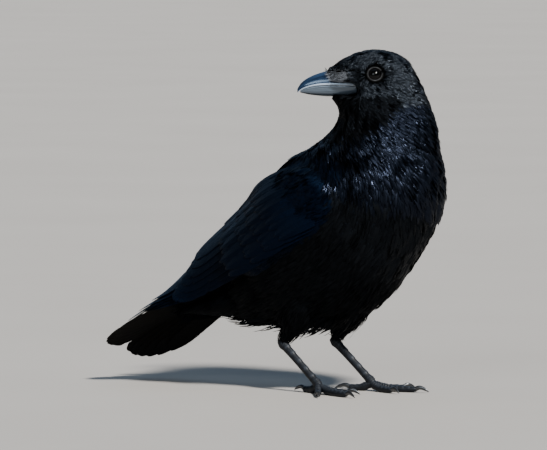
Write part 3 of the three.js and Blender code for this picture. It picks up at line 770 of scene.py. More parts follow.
def growth_tree():
    tree = bpy.data.node_groups.new("grow_feathers", "GeometryNodeTree")
    sockets = (
        ("Skin", "Geometry"), ("Feather", "Object"), ("Finish", "Material"), ("Zone", "String"),
        ("Spacing", "Float"), ("Scale", "Float"), ("Lift", "Float"), ("Stray", "Float"),
        ("Seed", "Int"),
    )  # fmt: skip
    for name, kind in sockets:
        tree.interface.new_socket(name, in_out="INPUT", socket_type=f"NodeSocket{kind}")
    tree.interface.new_socket("Coat", in_out="OUTPUT", socket_type="NodeSocketGeometry")
    given = node(tree, "NodeGroupInput").outputs

    def value(name, kind="FLOAT_VECTOR"):
        return node(tree, "GeometryNodeInputNamedAttribute", name, data_type=kind).outputs["Attribute"]

    def chance(least, most, seed):
        made = node(tree, "FunctionNodeRandomValue", data_type="FLOAT")
        for socket, number in ((2, least), (3, most)):
            if isinstance(number, bpy.types.NodeSocket):
                tree.links.new(number, made.inputs[socket])
            else:
                made.inputs[socket].default_value = number
        made.inputs["Seed"].default_value = seed
        return made.outputs[1]

    def store(geometry, name, values, kind, domain="POINT"):
        made = node(tree, "GeometryNodeStoreNamedAttribute", data_type=kind, domain=domain)
        made.inputs["Name"].default_value = name
        tree.links.new(geometry, made.inputs["Geometry"])
        tree.links.new(values, made.inputs["Value"])
        return made.outputs[0]

    area = math_node(tree, "MULTIPLY", given["Spacing"], given["Spacing"])
    roots = node(tree, "GeometryNodeDistributePointsOnFaces", distribute_method="POISSON", named={
        "Mesh": given["Skin"], "Distance Min": given["Spacing"],
        "Density Max": math_node(tree, "DIVIDE", 4.0, area),
        "Density Factor": value(given["Zone"], "FLOAT"), "Seed": given["Seed"],
    }).outputs["Points"]  # fmt: skip
    roots = store(roots, "root", value("OFBake"), "FLOAT_VECTOR")
    roots = store(roots, "tone", chance(0.0, 1.0, 11), "FLOAT")

    axes = node(tree, "FunctionNodeAxesToRotation", value("out"), value("lie"),
                primary_axis="Z", secondary_axis="Y").outputs[0]  # fmt: skip
    minus = math_node(tree, "MULTIPLY", given["Stray"], -1.0)
    raised = math_node(tree, "ADD", given["Lift"], chance(math_node(tree, "MULTIPLY", minus, 0.4),
                       math_node(tree, "MULTIPLY", given["Stray"], 0.6), 12))  # fmt: skip
    place = node(tree, "ShaderNodeVectorMath", node(tree, "GeometryNodeInputPosition").outputs[0],
                 (1, 1, 0.35), operation="MULTIPLY").outputs[0]  # fmt: skip
    locks = node(tree, "ShaderNodeTexNoise", place, named={
        "Scale": math_node(tree, "DIVIDE", LOCK_SCALE, given["Spacing"]), "Detail": 1.0,
    }).outputs["Fac"]  # fmt: skip
    locks = math_node(tree, "MULTIPLY", math_node(tree, "SUBTRACT", locks, 0.5), LOCK_ROLL)
    roll = math_node(tree, "MULTIPLY_ADD", locks, given["Stray"], chance(minus, given["Stray"], 13))
    turn = node(tree, "ShaderNodeCombineXYZ", raised, roll, chance(minus, given["Stray"], 14)).outputs[0]
    turn = node(tree, "FunctionNodeEulerToRotation", turn).outputs[0]
    aim = node(tree, "FunctionNodeRotateRotation", axes, turn, rotation_space="LOCAL").outputs[0]
    scale = math_node(tree, "MULTIPLY", given["Scale"], chance(0.78, 1.2, 15))
    size = node(tree, "ShaderNodeVectorMath", value("size"), operation="SCALE", named={"Scale": scale})
    shape = node(tree, "GeometryNodeObjectInfo", given["Feather"]).outputs["Geometry"]
    grown = node(tree, "GeometryNodeInstanceOnPoints", roots, named={
        "Instance": shape, "Rotation": aim, "Scale": size.outputs[0],
    }).outputs[0]  # fmt: skip
    grown = node(tree, "GeometryNodeRealizeInstances", grown).outputs[0]
    spot = node(tree, "ShaderNodeVectorMath", value("vane"), (0.5, 0.5, 0), operation="SUBTRACT")
    spot = node(tree, "ShaderNodeVectorMath", spot.outputs[0], (PATCH,) * 3, operation="MULTIPLY")
    spot = node(tree, "ShaderNodeVectorMath", spot.outputs[0], value("root"), operation="ADD")
    grown = store(grown, "OFBake", spot.outputs[0], "FLOAT2", "CORNER")
    grown = node(tree, "GeometryNodeSetMaterial", grown, named={"Material": given["Finish"]})
    node(tree, "NodeGroupOutput", grown.outputs[0])
    return tree


growth = growth_tree()
print("nodes in the tree:", len(growth.nodes))


# %% Growing one zone of the coat
def finished(obj, slot, *nodes):
    """Joins a finished piece to the bird and hides the solids that it replaces; slot is not used."""
    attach(obj, "root")
    if nodes:
        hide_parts(*nodes)
    return obj


def triangles(obj):
    return sum(len(p.vertices) - 2 for p in obj.data.polygons)


def grow(name, density, feather, finish, spacing, scale, lift, stray, seed):
    """Grows feathers as densely as asked, from 0 to 1; spacing is in mm, the angles in degrees."""
    keep(name, "FLOAT", density)
    obj = link(bpy.data.objects.new(name, skin.data))
    modifier = obj.modifiers.new("grow", "NODES")
    modifier.node_group = growth
    inputs = {
        "Feather": feather, "Finish": finish, "Zone": name, "Spacing": spacing * MM,
        "Scale": scale, "Lift": math.radians(lift), "Stray": math.radians(stray), "Seed": seed,
    }  # fmt: skip
    for label, setting in inputs.items():
        modifier[growth.interface.items_tree[label].identifier] = setting
    coat = baked(obj, f"coat_{name}")
    for extra in ("root", "lie", "out", "size", "id", *zones):
        if extra in coat.data.attributes:
            coat.data.attributes.remove(coat.data.attributes[extra])
    coat.data.uv_layers["vane"].active_render = True
    print(coat.name, triangles(coat), "triangles")
    return finished(coat, "plumage")


# %% [markdown]
# ## The coat, zone by zone
# A bird's feathers stand in tracts, and each tract has its own shape of feather and its own gloss.
# One setting for all of them would look like a toy, and a mask painted by hand can't be written
# down. So each zone is a mask over the skin, made of soft steps: the two numbers of a step say where
# it starts and where it is full, in millimetres or as a share. The tree runs once for each zone.
# Where masks fade into each other the strongest one still grows, so that no skin stays bare.

# %% Masks for the zones
def soft(mask):
    return evened(mask, edges, 4)


clear_of_eye = step(off_eye, 6.2, 6.8)  # the lids stay bare
near_bill = 1 - step(from_gape, 30, 40)
lower = soft(underside)
past_breast = step(along, 145, 180)
high_neck = 1 - step(along, 88, 96)
facing_up = step(normals[:, 2], 0, 0.25) * step(over_low_edge, 12, 24)
low_breast = step(along + 0.35 * (217 - body[:, 2]), 128, 150)
wing_rim = part["wing"] * (1 - step(to_trunk, 3, 9)) * (1 - step(wing_share, 0.3, 0.45))
past_front = step(wing_share, 0.1, 0.16)
shoulder = (part["trunk"] * (1 - step(to_wing, 8, 16)) + wing_rim) * facing_up * past_front
past_lesser = step(wing_share, 0.2, 0.27)
wing_front = wing_rim * (1 - past_front)
under_wing = part["wing"] * past_lesser * (1 - step(over_low_edge, 1, 6))
breast = part["trunk"] * (1 - past_breast)
mantle = step(unit(body - middle) @ unit(np.array((-1.0, 0, 0.6))), 0.0, 0.35) * (1 - high_neck)
short_of_tail = step(body[:, 0], -142, -134)
vent = part["tail_coverts_under"] * (1 - step((normals * down).sum(1), 0.5, 0.75)) * short_of_tail
pad_front = step(ahead, 14, 18) * step(above, 0, 3) * (1 - step(above, 11, 13))
throat = step(-above, 4, 9) * (1 - step(-ahead - 0.5 * above, 34, 46)) * (1 - step(from_gape, 44, 58))
cheek = (1 - near_bill) * step(above, -16, -9) * (1 - step(above, 18, 24)) * (1 - throat)
tufts = np.sin(0.31 * body[:, 0] + 2) * np.sin(0.43 * body[:, 1] + 0.2 * body[:, 0]) > 0.25
fringe = tufts * step(-normals[:, 2], 0.62, 0.8) * (1 - step(np.abs(body[:, 0] + 30), 68, 82))
fringe *= part["trunk"] + part["thigh"]
face = part["head"] * near_bill * (1 - bristly) * (1 - pad_front) * clear_of_eye
lores = face * (1 - step(from_gape, 20, 26) * step(off_eye, 8.5, 12)) * (1 - step(above, 10, 12.5))

# %% Zones of the coat
zones = {
    # mask, feather, finish, spacing, scale, lift, stray, seed
    "bristles": (step(bristly, 0.5, 0.8) * clear_of_eye, bristle, bristle_finish, 0.7, 0.72, 3, 6, 1),
    "lores": (lores * (1 - throat), hackle, throat_finish, 0.85, 0.8, 9, 18, 12),
    "face": (face * (1 - throat), hackle, head_finish, 0.9, 1.05, 8, 11, 2),
    "throat": (throat * (1 - bristly), hackle, throat_finish, 1.0, 1.05, 8, 11, 21),
    "cheek": (part["head"] * cheek * clear_of_eye, hackle, cheek_finish, 1.1, 1.05, 7, 12, 22),
    "crown": (part["head"] * (1 - near_bill) * (1 - cheek) * (1 - throat) * clear_of_eye,
              hackle, head_finish, 1.1, 1.05, 7, 10, 3),
    "nape": (part["neck"] * high_neck * (1 - throat), hackle, neck_finish, 1.35, 1.05, 7, 11, 4),
    "neck": (part["neck"] * (1 - high_neck) * (1 - mantle), hackle, neck_finish, 1.6, 1.05, 7, 12, 13),
    "breast": (breast * (1 - low_breast) * (1 - mantle), hackle, front_finish, 1.8, 1.05, 6, 9, 5),
    "mantle": ((part["neck"] + breast) * mantle, hackle, mantle_finish, 1.7, 1.05, 5, 8, 23),
    "low_breast": (breast * low_breast, hackle, breast_finish, 1.8, 1.05, 5, 8, 17),
    "flank": (part["trunk"] * past_breast * (1 - lower) * (1 - facing_up),
              wisp, belly_finish, 1.9, 1, 5, 8, 14),
    "wing_front": (wing_front, hackle, back_finish, 1.8, 1.05, 6, 9, 19),
    "under_wing": (under_wing, wisp, back_finish, 1.9, 1, 5, 8, 20),
    "back": (part["trunk"] * past_breast * facing_up, round_feather, back_finish, 2.3, 1, 6, 7, 6),
    "belly": (part["trunk"] * past_breast * lower, wisp, belly_finish, 1.8, 1, 6, 10, 7),
    "thighs": (part["thigh"], wisp, belly_finish, 1.7, 1, 7, 10, 8),
    "wing_left": (part["wing_left_coverts"] * (1 - past_lesser),
                  round_feather, back_finish, 1.9, 1, 4, 5, 9),
    "wing_right": (part["wing_right_coverts"] * (1 - past_lesser),
                   round_feather, back_finish, 1.9, 1, 4, 5, 10),
    "shoulders": (shoulder, round_feather, back_finish, 2.4, 1.15, 5, 6, 15),
    "vent": (vent, wisp, belly_finish, 1.9, 0.95, 3, 4, 11),
    "fringe": (fringe, wisp, belly_finish, 2.6, 1.4, 22, 16, 16),
}  # fmt: skip
masks = {name: soft(zone[0]) for name, zone in zones.items()}
strongest = np.max(list(masks.values()), axis=0)
covered = step(sum(masks.values()), 0.6, 0.9)  # so that no corner between zones stays bare
print("zones:", ", ".join(zones))

# %% Grow every zone
coat = []
for name, zone in zones.items():
    leading = step(masks[name] / np.maximum(strongest, 0.01), 0.75, 0.95) * covered
    coat.append(grow(name, np.maximum(step(masks[name], 0.25, 0.45), leading), *zone[1:]))
for name in zones:
    skin.data.attributes.remove(skin.data.attributes[name])
finished(skin, "plumage", *FLESH)
print("coat:", sum(triangles(piece) for piece in coat), "triangles")

# %% [markdown]
# ## Long feathers of the wing
# A folded wing is a stack of long feathers on one curved sheet, from its lower edge up to the middle
# of the back. The sheet is drawn between the same two edges that gave the feathers their lie, so
# each vane only needs its place in the stack, its height across the wing at root and tip, and its
# width. A vane is a thin closed plate with a raised shaft, a slight hollow below and a few
# notches in its edge. One Solidify plate would be quicker, but has neither shaft nor taper.

# %% The sheet that the wing lies on
WING_BULGE = (12, 11, 10, 4, 1.2, 0.6)  # how far its middle stands out from a straight line
FEATHER_LAYER = 1.45  # from one long feather to the next in a stack
OVER_LAYER = 0.35  # how far the middle of a vane lies over its layer


def wing_sheet(s, t):
    """The right wing's sheet at s from shoulder to tip and t from the lower edge up."""
    nudge = 1e-4
    lower_edge, upper_edge = catmull(WING_LOW, s), catmull(WING_HIGH, s)
    along_edges = catmull(WING_LOW, s + nudge) + catmull(WING_HIGH, s + nudge)
    along_edges -= catmull(WING_LOW, s - nudge) + catmull(WING_HIGH, s - nudge)
    chord = upper_edge - lower_edge
    sideways = unit(np.cross(chord, along_edges))
    sideways *= -np.sign(sideways[..., 1:2])
    bulge = catmull([(b, 0, 0) for b in WING_BULGE], s)[..., :1]
    outwards = sideways * bulge * np.sin(np.pi * np.clip(t, 0, 1))[..., None]
    return lower_edge + chord * t[..., None] + outwards


def wing_point(sign, s, t, lift):
    """The same, lifted off the sheet, for the right wing (sign -1) or the left one (1)."""
    s, t, lift = np.broadcast_arrays(*(np.asarray(a, float) for a in (s, t, lift)))
    nudge = 0.01
    across = wing_sheet(s, t + nudge) - wing_sheet(s, t - nudge)
    lengthwise = wing_sheet(np.minimum(s + nudge, 1), t) - wing_sheet(np.maximum(s - nudge, 0), t)
    normal = unit(np.cross(across, lengthwise))
    normal *= -np.sign(normal[..., 1:2])
    return (wing_sheet(s, t) + normal * lift[..., None]) * (1, -sign, 1)


def wing_chord(s):
    """How wide the sheet is, from edge to edge."""
    return np.linalg.norm(catmull(WING_HIGH, s) - catmull(WING_LOW, s), axis=-1)


print("the folded wing is", wing_chord(np.array([0.1, 0.4, 0.7])).round(), "mm wide on its way back")


# %% A vane
VANE_COLUMNS = np.array((-1, -0.95, -0.75, -0.5, -0.25, -0.07, 0, 0.07, 0.25, 0.5, 0.75, 0.95, 1))


def vane(name, surface, halves, rows=44, seed=0, shaft=0.55, thickness=0.34, tip_from=0.6,
         tip_power=2.0, two_sided=True):  # fmt: skip
    """A closed vane. surface(f, x, lift) gives points for f along the feather, x across it in mm."""
    chance = np.random.default_rng(seed)
    f = 1 - (1 - np.linspace(0, 1, rows)) ** 1.25  # the rows stand closer near the tip
    rounding = 1 - np.clip((f - tip_from) / (1.004 - tip_from), 0, 1) ** tip_power
    rounding = np.sqrt(np.maximum(rounding, 0.006))
    wear = 1 + 0.012 * chance.standard_normal((rows, 2)) * (0.4 + 2.2 * f[:, None] ** 3)
    for _ in range(3):  # notches
        wear[chance.integers(rows // 3, rows - 3), chance.integers(2)] *= 0.86
    column = VANE_COLUMNS[None, :]
    side_of = (VANE_COLUMNS > 0).astype(int)
    width = np.array(halves)[side_of] * rounding[:, None] * wear[:, side_of]
    x = column * width
    ridge = shaft * (1 - 0.85 * f[:, None]) * np.exp(-((x / 0.75) ** 2))
    camber = 0.022 * max(halves) * (1 - column**2) * np.ones_like(x)
    body_thick = thickness * (1 - 0.6 * np.abs(column)) * (1 - 0.5 * f[:, None] ** 2)
    rise = 0.25 * np.sin(f[:, None] * 50 + 9 * column) * np.abs(column) ** 2 * 0.35
    top = surface(f[:, None] + 0 * x, x, camber + ridge + rise)
    bottom = surface(f[:, None] + 0 * x, x, camber - body_thick - 0.6 * ridge + rise)
    rings = np.concatenate([top, bottom[:, ::-1]], 1)
    obj = tube(name, rings)
    columns = len(VANE_COLUMNS)
    across = np.concatenate([(VANE_COLUMNS + 1) / 2, (VANE_COLUMNS[::-1] + 1) / 2])
    uv = np.stack([np.tile(across, rows), np.repeat(f, 2 * columns)], 1)
    uv = np.concatenate([uv, [[0.5, 0], [0.5, 1]]])
    map_points(obj.data, uv)
    upper_side = np.tile(np.repeat([1, 0], columns), rows)
    for polygon in obj.data.polygons:
        own = [i for i in polygon.vertices if i < len(upper_side)]  # all but the caps' middles
        polygon.material_index = int(upper_side[own].mean() < 0.5)
    paint(obj, "painted_sky_sheen", np.zeros(len(uv)))
    paint(obj, "tone", np.full(len(uv), chance.uniform(0.4, 0.6)))
    return with_finishes(obj, long_finish, under_finish if two_sided else long_finish)


def with_finishes(obj, *finishes):
    for finish in finishes:
        obj.data.materials.append(finish)
    return obj


def paint(obj, name, values):
    obj.data.attributes.new(name, "FLOAT", "POINT").data.foreach_set("value", values)


# The long feathers' black is the bright one all over, with the sky's blue painted in.
long_finish = feather_finish("long_feather_black", BRIGHT, BRIGHT, SKY_BLUE, 0.115, 0.33,
                             barb_count=110, barb_slant=22, edge=0.15)  # fmt: skip
under_finish = feather_finish("long_feather_underside", (0.0028, 0.0025, 0.0022), DULL, BROWN, 0.04, 0.5,
                              barb_count=110, barb_slant=22, edge=0.3)  # fmt: skip
print("finishes of the long feathers:", long_finish.name, "and", under_finish.name)

# %% The stack of each wing
# From the lowest layer up. tip: how far along the wing it ends; base and end: its height across the
# wing at root and tip; width: half of its vane. An extra feather lies between two of the frame's.
WING_FEATHERS = (
    # name, layer, tip, base, end, width
    ("primary_9", 0, 0.92, 0.14, 0.3, 9),
    ("primary_8", 1, 0.98, 0.2, 0.42, 9.5),
    ("primary_7", 2, 1.0, 0.26, 0.54, 11),
    ("primary_6", 3, 0.93, 0.33, 0.62, 12),
    ("primary_5", 4, 0.85, 0.4, 0.7, 13),
    ("extra_4", 4.3, 0.7, 0.2, 0.22, 13),
    ("extra_3", 4.6, 0.69, 0.28, 0.32, 15),
    ("secondary_2", 5, 0.68, 0.37, 0.42, 17),
    ("extra_2", 5.5, 0.665, 0.47, 0.52, 17),
    ("secondary_1", 6, 0.65, 0.57, 0.62, 18),
    ("extra_1", 6.5, 0.635, 0.67, 0.74, 18),
    ("tertial", 7, 0.63, 0.79, 0.9, 19),
)
WING_START = 0.36  # how far along the wing they all begin
PRIMARIES_RISE = 5  # layers by which the stack comes up towards the wing's tip
TOP_LAYER = 7


def wing_feather(side, name, layer, tip, base, end, width, seed):
    """One long feather of a folded wing, laid on the wing's sheet."""
    sign = SIDES[side]

    def surface(f, x, lift):
        s = WING_START + (tip - WING_START) * f
        t = np.clip(base + (end - base) * f + x / wing_chord(s), 0.004, 0.996)
        stack = layer - TOP_LAYER + PRIMARIES_RISE * step(s, 0.5, 1)
        return wing_point(sign, s, t, stack * FEATHER_LAYER + OVER_LAYER + lift)

    narrow = 0.8 if "primary" in name else 1.0
    obj = vane(f"{side}_wing_{name}", surface, (width * narrow, width), seed=seed)
    solid = f"wing_{side}_{name}"
    return finished(obj, "flight_feathers", *([solid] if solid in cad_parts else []))


long_feathers = [
    wing_feather(side, *feather, seed=100 * (sign + 1) + i)
    for side, sign in SIDES.items()
    for i, feather in enumerate(WING_FEATHERS)
]
print("long wing feathers:", len(long_feathers))

# %% [markdown]
# ## Coverts
# Rows of short round feathers cover the roots of the long ones, each row over the next like tiles.
# The tree that grows the coat could scatter them too, but these keep in line. So each one is a small
# vane with its own place on the wing's sheet, and those of one wing are joined into one piece.

# %% Rows of coverts
COVERT_ROWS = (
    # tips, roots, number, from, to, half-width, lift
    (0.47, 0.2, 12, 0.08, 0.95, 8.0, 1.3),
    (0.39, 0.15, 12, 0.09, 0.95, 7.2, 1.8),
    (0.325, 0.11, 12, 0.1, 0.94, 6.4, 2.2),
    (0.27, 0.08, 12, 0.12, 0.94, 5.6, 2.5),
)


def covert(side, tip, root, t, width, lift, seed):
    """A short round feather on the wing's sheet."""
    sign = SIDES[side]
    chance = np.random.default_rng(seed)
    tip = tip + chance.normal(0, 0.005) + 0.07 * (t - 0.5)
    lean = chance.normal(0, 0.012)

    def surface(f, x, up):
        s = root + (tip - root) * f
        place = np.clip(t + lean * f + x / wing_chord(s), 0.004, 0.996)
        sunk = lift - 6 * (1 - f) ** 2.5
        return wing_point(sign, s, place, sunk + 0.25 * np.cos(40 * t) * f + up)

    return vane(f"covert_{side}_{seed}", surface, (width, width), rows=20, seed=seed, shaft=0.3,
                thickness=0.3, tip_from=0.35, two_sided=False)  # fmt: skip


def joined_pieces(name, parts):
    """Several meshes made one piece; all have the same finishes."""
    finishes = list(parts[0].data.materials)
    work = bmesh.new()
    for part_ in parts:
        work.from_mesh(part_.data)
        bpy.data.objects.remove(part_)
    mesh = bpy.data.meshes.new(name)
    work.to_mesh(mesh)
    work.free()
    return finished(with_finishes(link(bpy.data.objects.new(name, mesh)), *finishes), "plumage")


for side in SIDES:
    rows = []
    for r, (tips, roots, number, first, last, width, lift) in enumerate(COVERT_ROWS):
        for i, t in enumerate(np.linspace(first, last, number)):
            rows.append(covert(side, tips, roots, t, width, lift + 0.12 * i / number, 1000 * r + i))
    piece = joined_pieces(f"coverts_{side}", rows)
    print(piece.name, triangles(piece), "triangles")

# %% [markdown]
# ## The tail
# Twelve feathers lie in a fan, the middle pair on top. The fan is rolled, so that its left side
# hangs lower, and arched, so each feather takes its height from how far out it lies.

# %% Tail feathers
TAIL_BASE = np.array((-43, 0, 127.5))
TAIL_SLOPE, TAIL_ROLL, TAIL_SWING = (math.radians(a) for a in (28, 22, 2))
TAIL_LENGTHS = (202, 203, 201, 197, 190, 178)  # from the inner feather to the outer
TAIL_LAYER = 0.95  # from one feather to the next
TAIL_FIRST = {"right": 2.6, "left": 4.6}  # degrees from the middle to the inner feather
TAIL_STEP = 1.85  # degrees from one feather to the next
TIP_SPACING = 6.5  # the same in millimetres, at the tips
TAIL_INNER, TAIL_OUTER = 15, 8  # widths of the two halves of a vane
TAIL_START = 62  # from the fan's middle to where the vanes begin
tail_back = np.array((-math.cos(TAIL_SLOPE), 0, -math.sin(TAIL_SLOPE)))
tail_flat = np.array((-math.sin(TAIL_SLOPE), 0, math.cos(TAIL_SLOPE)))
tail_left = np.array((0, math.cos(TAIL_ROLL), 0)) - math.sin(TAIL_ROLL) * tail_flat
tail_up = -np.cross(tail_back, tail_left)


def tail_point(back, left, up):
    back, left, up = (np.asarray(a, float)[..., None] for a in (back, left, up))
    left = left + back * math.sin(TAIL_SWING)
    return TAIL_BASE + back * tail_back + left * tail_left + up * tail_up


def tail_sag(left):
    """How far the arched fan hangs, this far from its middle."""
    return 0.0008 * left**2


# How far each tip is cut back towards its outer edge, so that together they make one smooth line.
TAIL_SLANTS = np.clip(-np.gradient(TAIL_LENGTHS) / TIP_SPACING, 0.1, 1.6)


def tail_feather(side, number):
    sign = SIDES[side]
    angle = math.radians(TAIL_FIRST[side] + TAIL_STEP * (number - 1))

    def surface(f, x, lift):
        along_shaft = TAIL_START + (TAIL_LENGTHS[number - 1] - TAIL_START) * f
        along_shaft = along_shaft - TAIL_SLANTS[number - 1] * np.maximum(x, 0) * step(f, 0.55, 0.95)
        out_from = along_shaft * math.sin(angle) + x * np.where(x > 0, step(along_shaft, 0, 110), 1)
        left = sign * np.maximum(out_from, 0.3)
        down = tail_sag(left) + number * TAIL_LAYER
        return tail_point(along_shaft * math.cos(angle), left, lift - down + OVER_LAYER)

    obj = vane(f"{side}_tail_feather_{number}", surface, (TAIL_INNER, TAIL_OUTER), rows=56,
               seed=40 + 7 * number + sign, tip_from=0.78, tip_power=3.2)  # fmt: skip
    return finished(obj, "flight_feathers", f"tail_{side}_{number}")


tail = [tail_feather(side, number) for side in SIDES for number in range(1, 7)]
print("tail feathers:", len(tail))

# %% [markdown]
# ## The bill
# The bill is two halves of horn that meet along the mouth's line. Each one is an arch that changes
# from the face to the tip: high and broad at the root, hooked at the end. The halves are lofted
# from a short table of sections. The finish gives the horn its fine lengthwise grain, the upper half
# a paler rim that is partly worn horn and partly a painted highlight, and the lower half a darker
# keel that is painted shade.

# %% Shape of the bill
BILL = (
    # ahead of the mouth's corner; heights of the ridge, the mouth and the keel; half-width
    (0, 10, 0, -8.2, 11),
    (8, 15, 0, -9.6, 10.4),
    (16, 14.6, 0, -9.8, 9),
    (26, 12.4, 0, -9.8, 7.6),
    (34, 10.2, -0.3, -9.2, 6.2),
    (41, 7.4, -1.4, -8.4, 4.8),
    (46.5, 4.2, -3, -7.4, 3.5),
    (50.4, 0.6, -4.9, -6.6, 2.2),
    (53, -3.6, -7, -6.6, 1.0),
)
MOUTH_GAP = 0.3


def bill_half(upper):
    """One half of the bill as rings: an arch over the mouth's line and a slightly hollow underside."""
    table = BILL if upper else BILL[:-1]
    sections = catmull(table, np.linspace(0, 1, 52))
    turn = np.linspace(0, math.pi, 33)
    round_about = np.sign(np.cos(turn)) * np.abs(np.cos(turn)) ** (1.3 if upper else 0.8)
    arch = np.sin(turn) ** (1.3 if upper else 0.85)
    ridge = 0.35 * np.exp(-(((turn - math.pi / 2) / 0.16) ** 2))
    # The lip is a rim along the mouth's line with a groove beside it.
    lip = 0.22 * np.exp(-(((arch - 0.1) / 0.07) ** 2)) - 0.18 * np.exp(-(((arch - 0.3) / 0.1) ** 2))
    sign = 1 if upper else -1
    rings = []
    for ahead_, culmen, mouth, keel, width in sections:
        edge = mouth + sign * MOUTH_GAP / 2
        height = max((culmen - edge) if upper else (edge - keel), 0.5)
        half = width * (1.0 if upper else 0.92)
        scale = min(1, height / 6)
        left = (half + lip * scale) * round_about
        up = edge + sign * (height * arch + ridge * scale)
        inside = np.linspace(-0.9, 0.9, 7) * half
        hollow = edge + sign * 0.5 * (1 - (np.linspace(-0.9, 0.9, 7)) ** 2)
        rings.append(head_point(ahead_, np.append(left, inside), np.append(up, hollow)))
    return np.array(rings)


# %% Horn
def grain(tree, across, along_):
    """Stretched noise on the map 'vane': many streaks round a piece, few changes along it."""
    uv = node(tree, "ShaderNodeMapping", vane_map(tree), named={"Scale": (across, along_, 1)}).outputs[0]
    return node(tree, "ShaderNodeTexNoise", uv, named={"Scale": 1.0, "Detail": 5.0}).outputs["Fac"]


def horn_finish(name, dark, light, rough, tint, *zones):
    """Streaked horn; each zone is a colour and its stops round the piece, from 0 to 1."""
    material, tree, shader = new_material(
        name, Specular_IOR_Level=0.6, Specular_Tint=(*tint, 1), Coat_Weight=0.35, Coat_Roughness=0.18
    )
    streaks = grain(tree, 34, 3)
    colour = ramp(tree, streaks, (0.35, dark), (0.7, light))
    round_about = node(tree, "ShaderNodeSeparateXYZ", vane_map(tree)).outputs[0]
    for zone_colour, *stops in zones:
        share = ramp(tree, round_about, *((place, grey(amount)) for place, amount in stops))
        colour = mixed(tree, share, colour, zone_colour)
    tree.links.new(colour, shader.inputs["Base Color"])
    rough_streaks = math_node(tree, "MULTIPLY_ADD", streaks, 0.25, rough - 0.12)
    tree.links.new(rough_streaks, shader.inputs["Roughness"])
    bumped(tree, shader, streaks, 0.35, 0.1)
    return material


# Both zones: a colour, then how much of it there is at places round the half, from 0 to 1.
# The upper half's paler rim along the mouth's line: partly worn horn, partly a painted highlight.
RIM_WEAR_AND_HIGHLIGHT = ((0.26, 0.31, 0.38), (0.0, 1), (0.045, 1), (0.075, 0), (0.725, 0), (0.755, 1))
# The lower half's darker keel is painted shade.
SHADED_KEEL = ((0.006, 0.008, 0.011), (0.22, 0), (0.31, 0.9), (0.49, 0.9), (0.58, 0))
COOL_SHEEN, PALE_SHEEN, CLAW_SHEEN = (0.58, 0.78, 1.0), (0.84, 0.92, 1.0), (0.9, 0.95, 1.0)
upper_horn = horn_finish("upper_bill_horn", (0.0035, 0.0085, 0.021), (0.01, 0.0235, 0.052), 0.15,
                         COOL_SHEEN, RIM_WEAR_AND_HIGHLIGHT)  # fmt: skip
lower_horn = horn_finish("lower_bill_horn", (0.036, 0.05, 0.068), (0.085, 0.11, 0.14), 0.19,
                         PALE_SHEEN, SHADED_KEEL)  # fmt: skip
for name, upper, horn in (("upper_bill", True, upper_horn), ("lower_bill", False, lower_horn)):
    half = tube(name, bill_half(upper))
    half.data.materials.append(horn)
    finished(half, "horn", "bill_upper" if upper else "bill_lower")
    print(name, triangles(half), "triangles")

# %% [markdown]
# ## Eyes and lids
# The eye is a wet ball, almost black round a black pupil, and most of it is hidden: the lids leave
# a round window. A narrow ring of bare, beaded skin holds the ball, and a thin highlight is painted
# along its inner rim, broken here and there. Both are turned round the eye's own axis, which points
# sideways out of the head.

# %% Eyes
EYE_RADIUS = 8.0
LID_STRETCH = 1.04  # the opening is a little longer than high


def eye_ring(side, radius, height, sides=64, wrinkle=None):
    """A circle round the eye's axis, at a height over the ball's middle."""
    a = np.linspace(0, 2 * math.pi, sides, endpoint=False)[:, None]
    radius = radius * (1 + (0 if wrinkle is None else wrinkle(a)))
    centre = head_point(EYE_SEAT[0], SIDES[side] * EYE_SEAT[1], EYE_SEAT[2])
    axis = eye_axis(side)
    upright = unit(UP - axis * (axis @ UP))
    return centre + axis * height + radius * (LID_STRETCH * AHEAD * np.cos(a) + upright * np.sin(a))


def eye_ball(side):
    polar = np.linspace(0.04, math.pi - 0.02, 40)[::-1]
    bulge = 0.5 * np.clip(1 - (polar / 0.75) ** 2, 0, 1)
    return [
        eye_ring(side, (EYE_RADIUS + b) * math.sin(p) / LID_STRETCH, (EYE_RADIUS + b) * math.cos(p))
        for p, b in zip(polar, bulge)
    ]


eye_finish, tree, shader = new_material("wet_eye", Roughness=0.05, Specular_IOR_Level=0.15)
round_eye, outwards = node(tree, "ShaderNodeSeparateXYZ", vane_map(tree)).outputs[:2]
turns = math_node(tree, "MULTIPLY", round_eye, 60.0)
rays = node(tree, "ShaderNodeCombineXYZ", turns, outwards).outputs[0]
rays = node(tree, "ShaderNodeTexNoise", rays, named={"Scale": 1.0, "Detail": 3.0}).outputs["Fac"]
reach = math_node(tree, "MULTIPLY_ADD", rays, 0.03, outwards)
iris = ramp(tree, reach, (0.0, (0.001, 0.001, 0.001)), (0.8, (0.0026, 0.0022, 0.0024)),
            (0.86, (0.002, 0.0017, 0.0019)), (0.885, (0.0004, 0.0004, 0.0004)))  # fmt: skip
tree.links.new(iris, shader.inputs["Base Color"])
for side in SIDES:
    ball = tube(f"eyeball_{side}", eye_ball(side))
    ball.data.materials.append(eye_finish)
    finished(ball, "eye", f"eye_{side}")
print("eyeballs:", 2 * EYE_RADIUS, "mm wide")

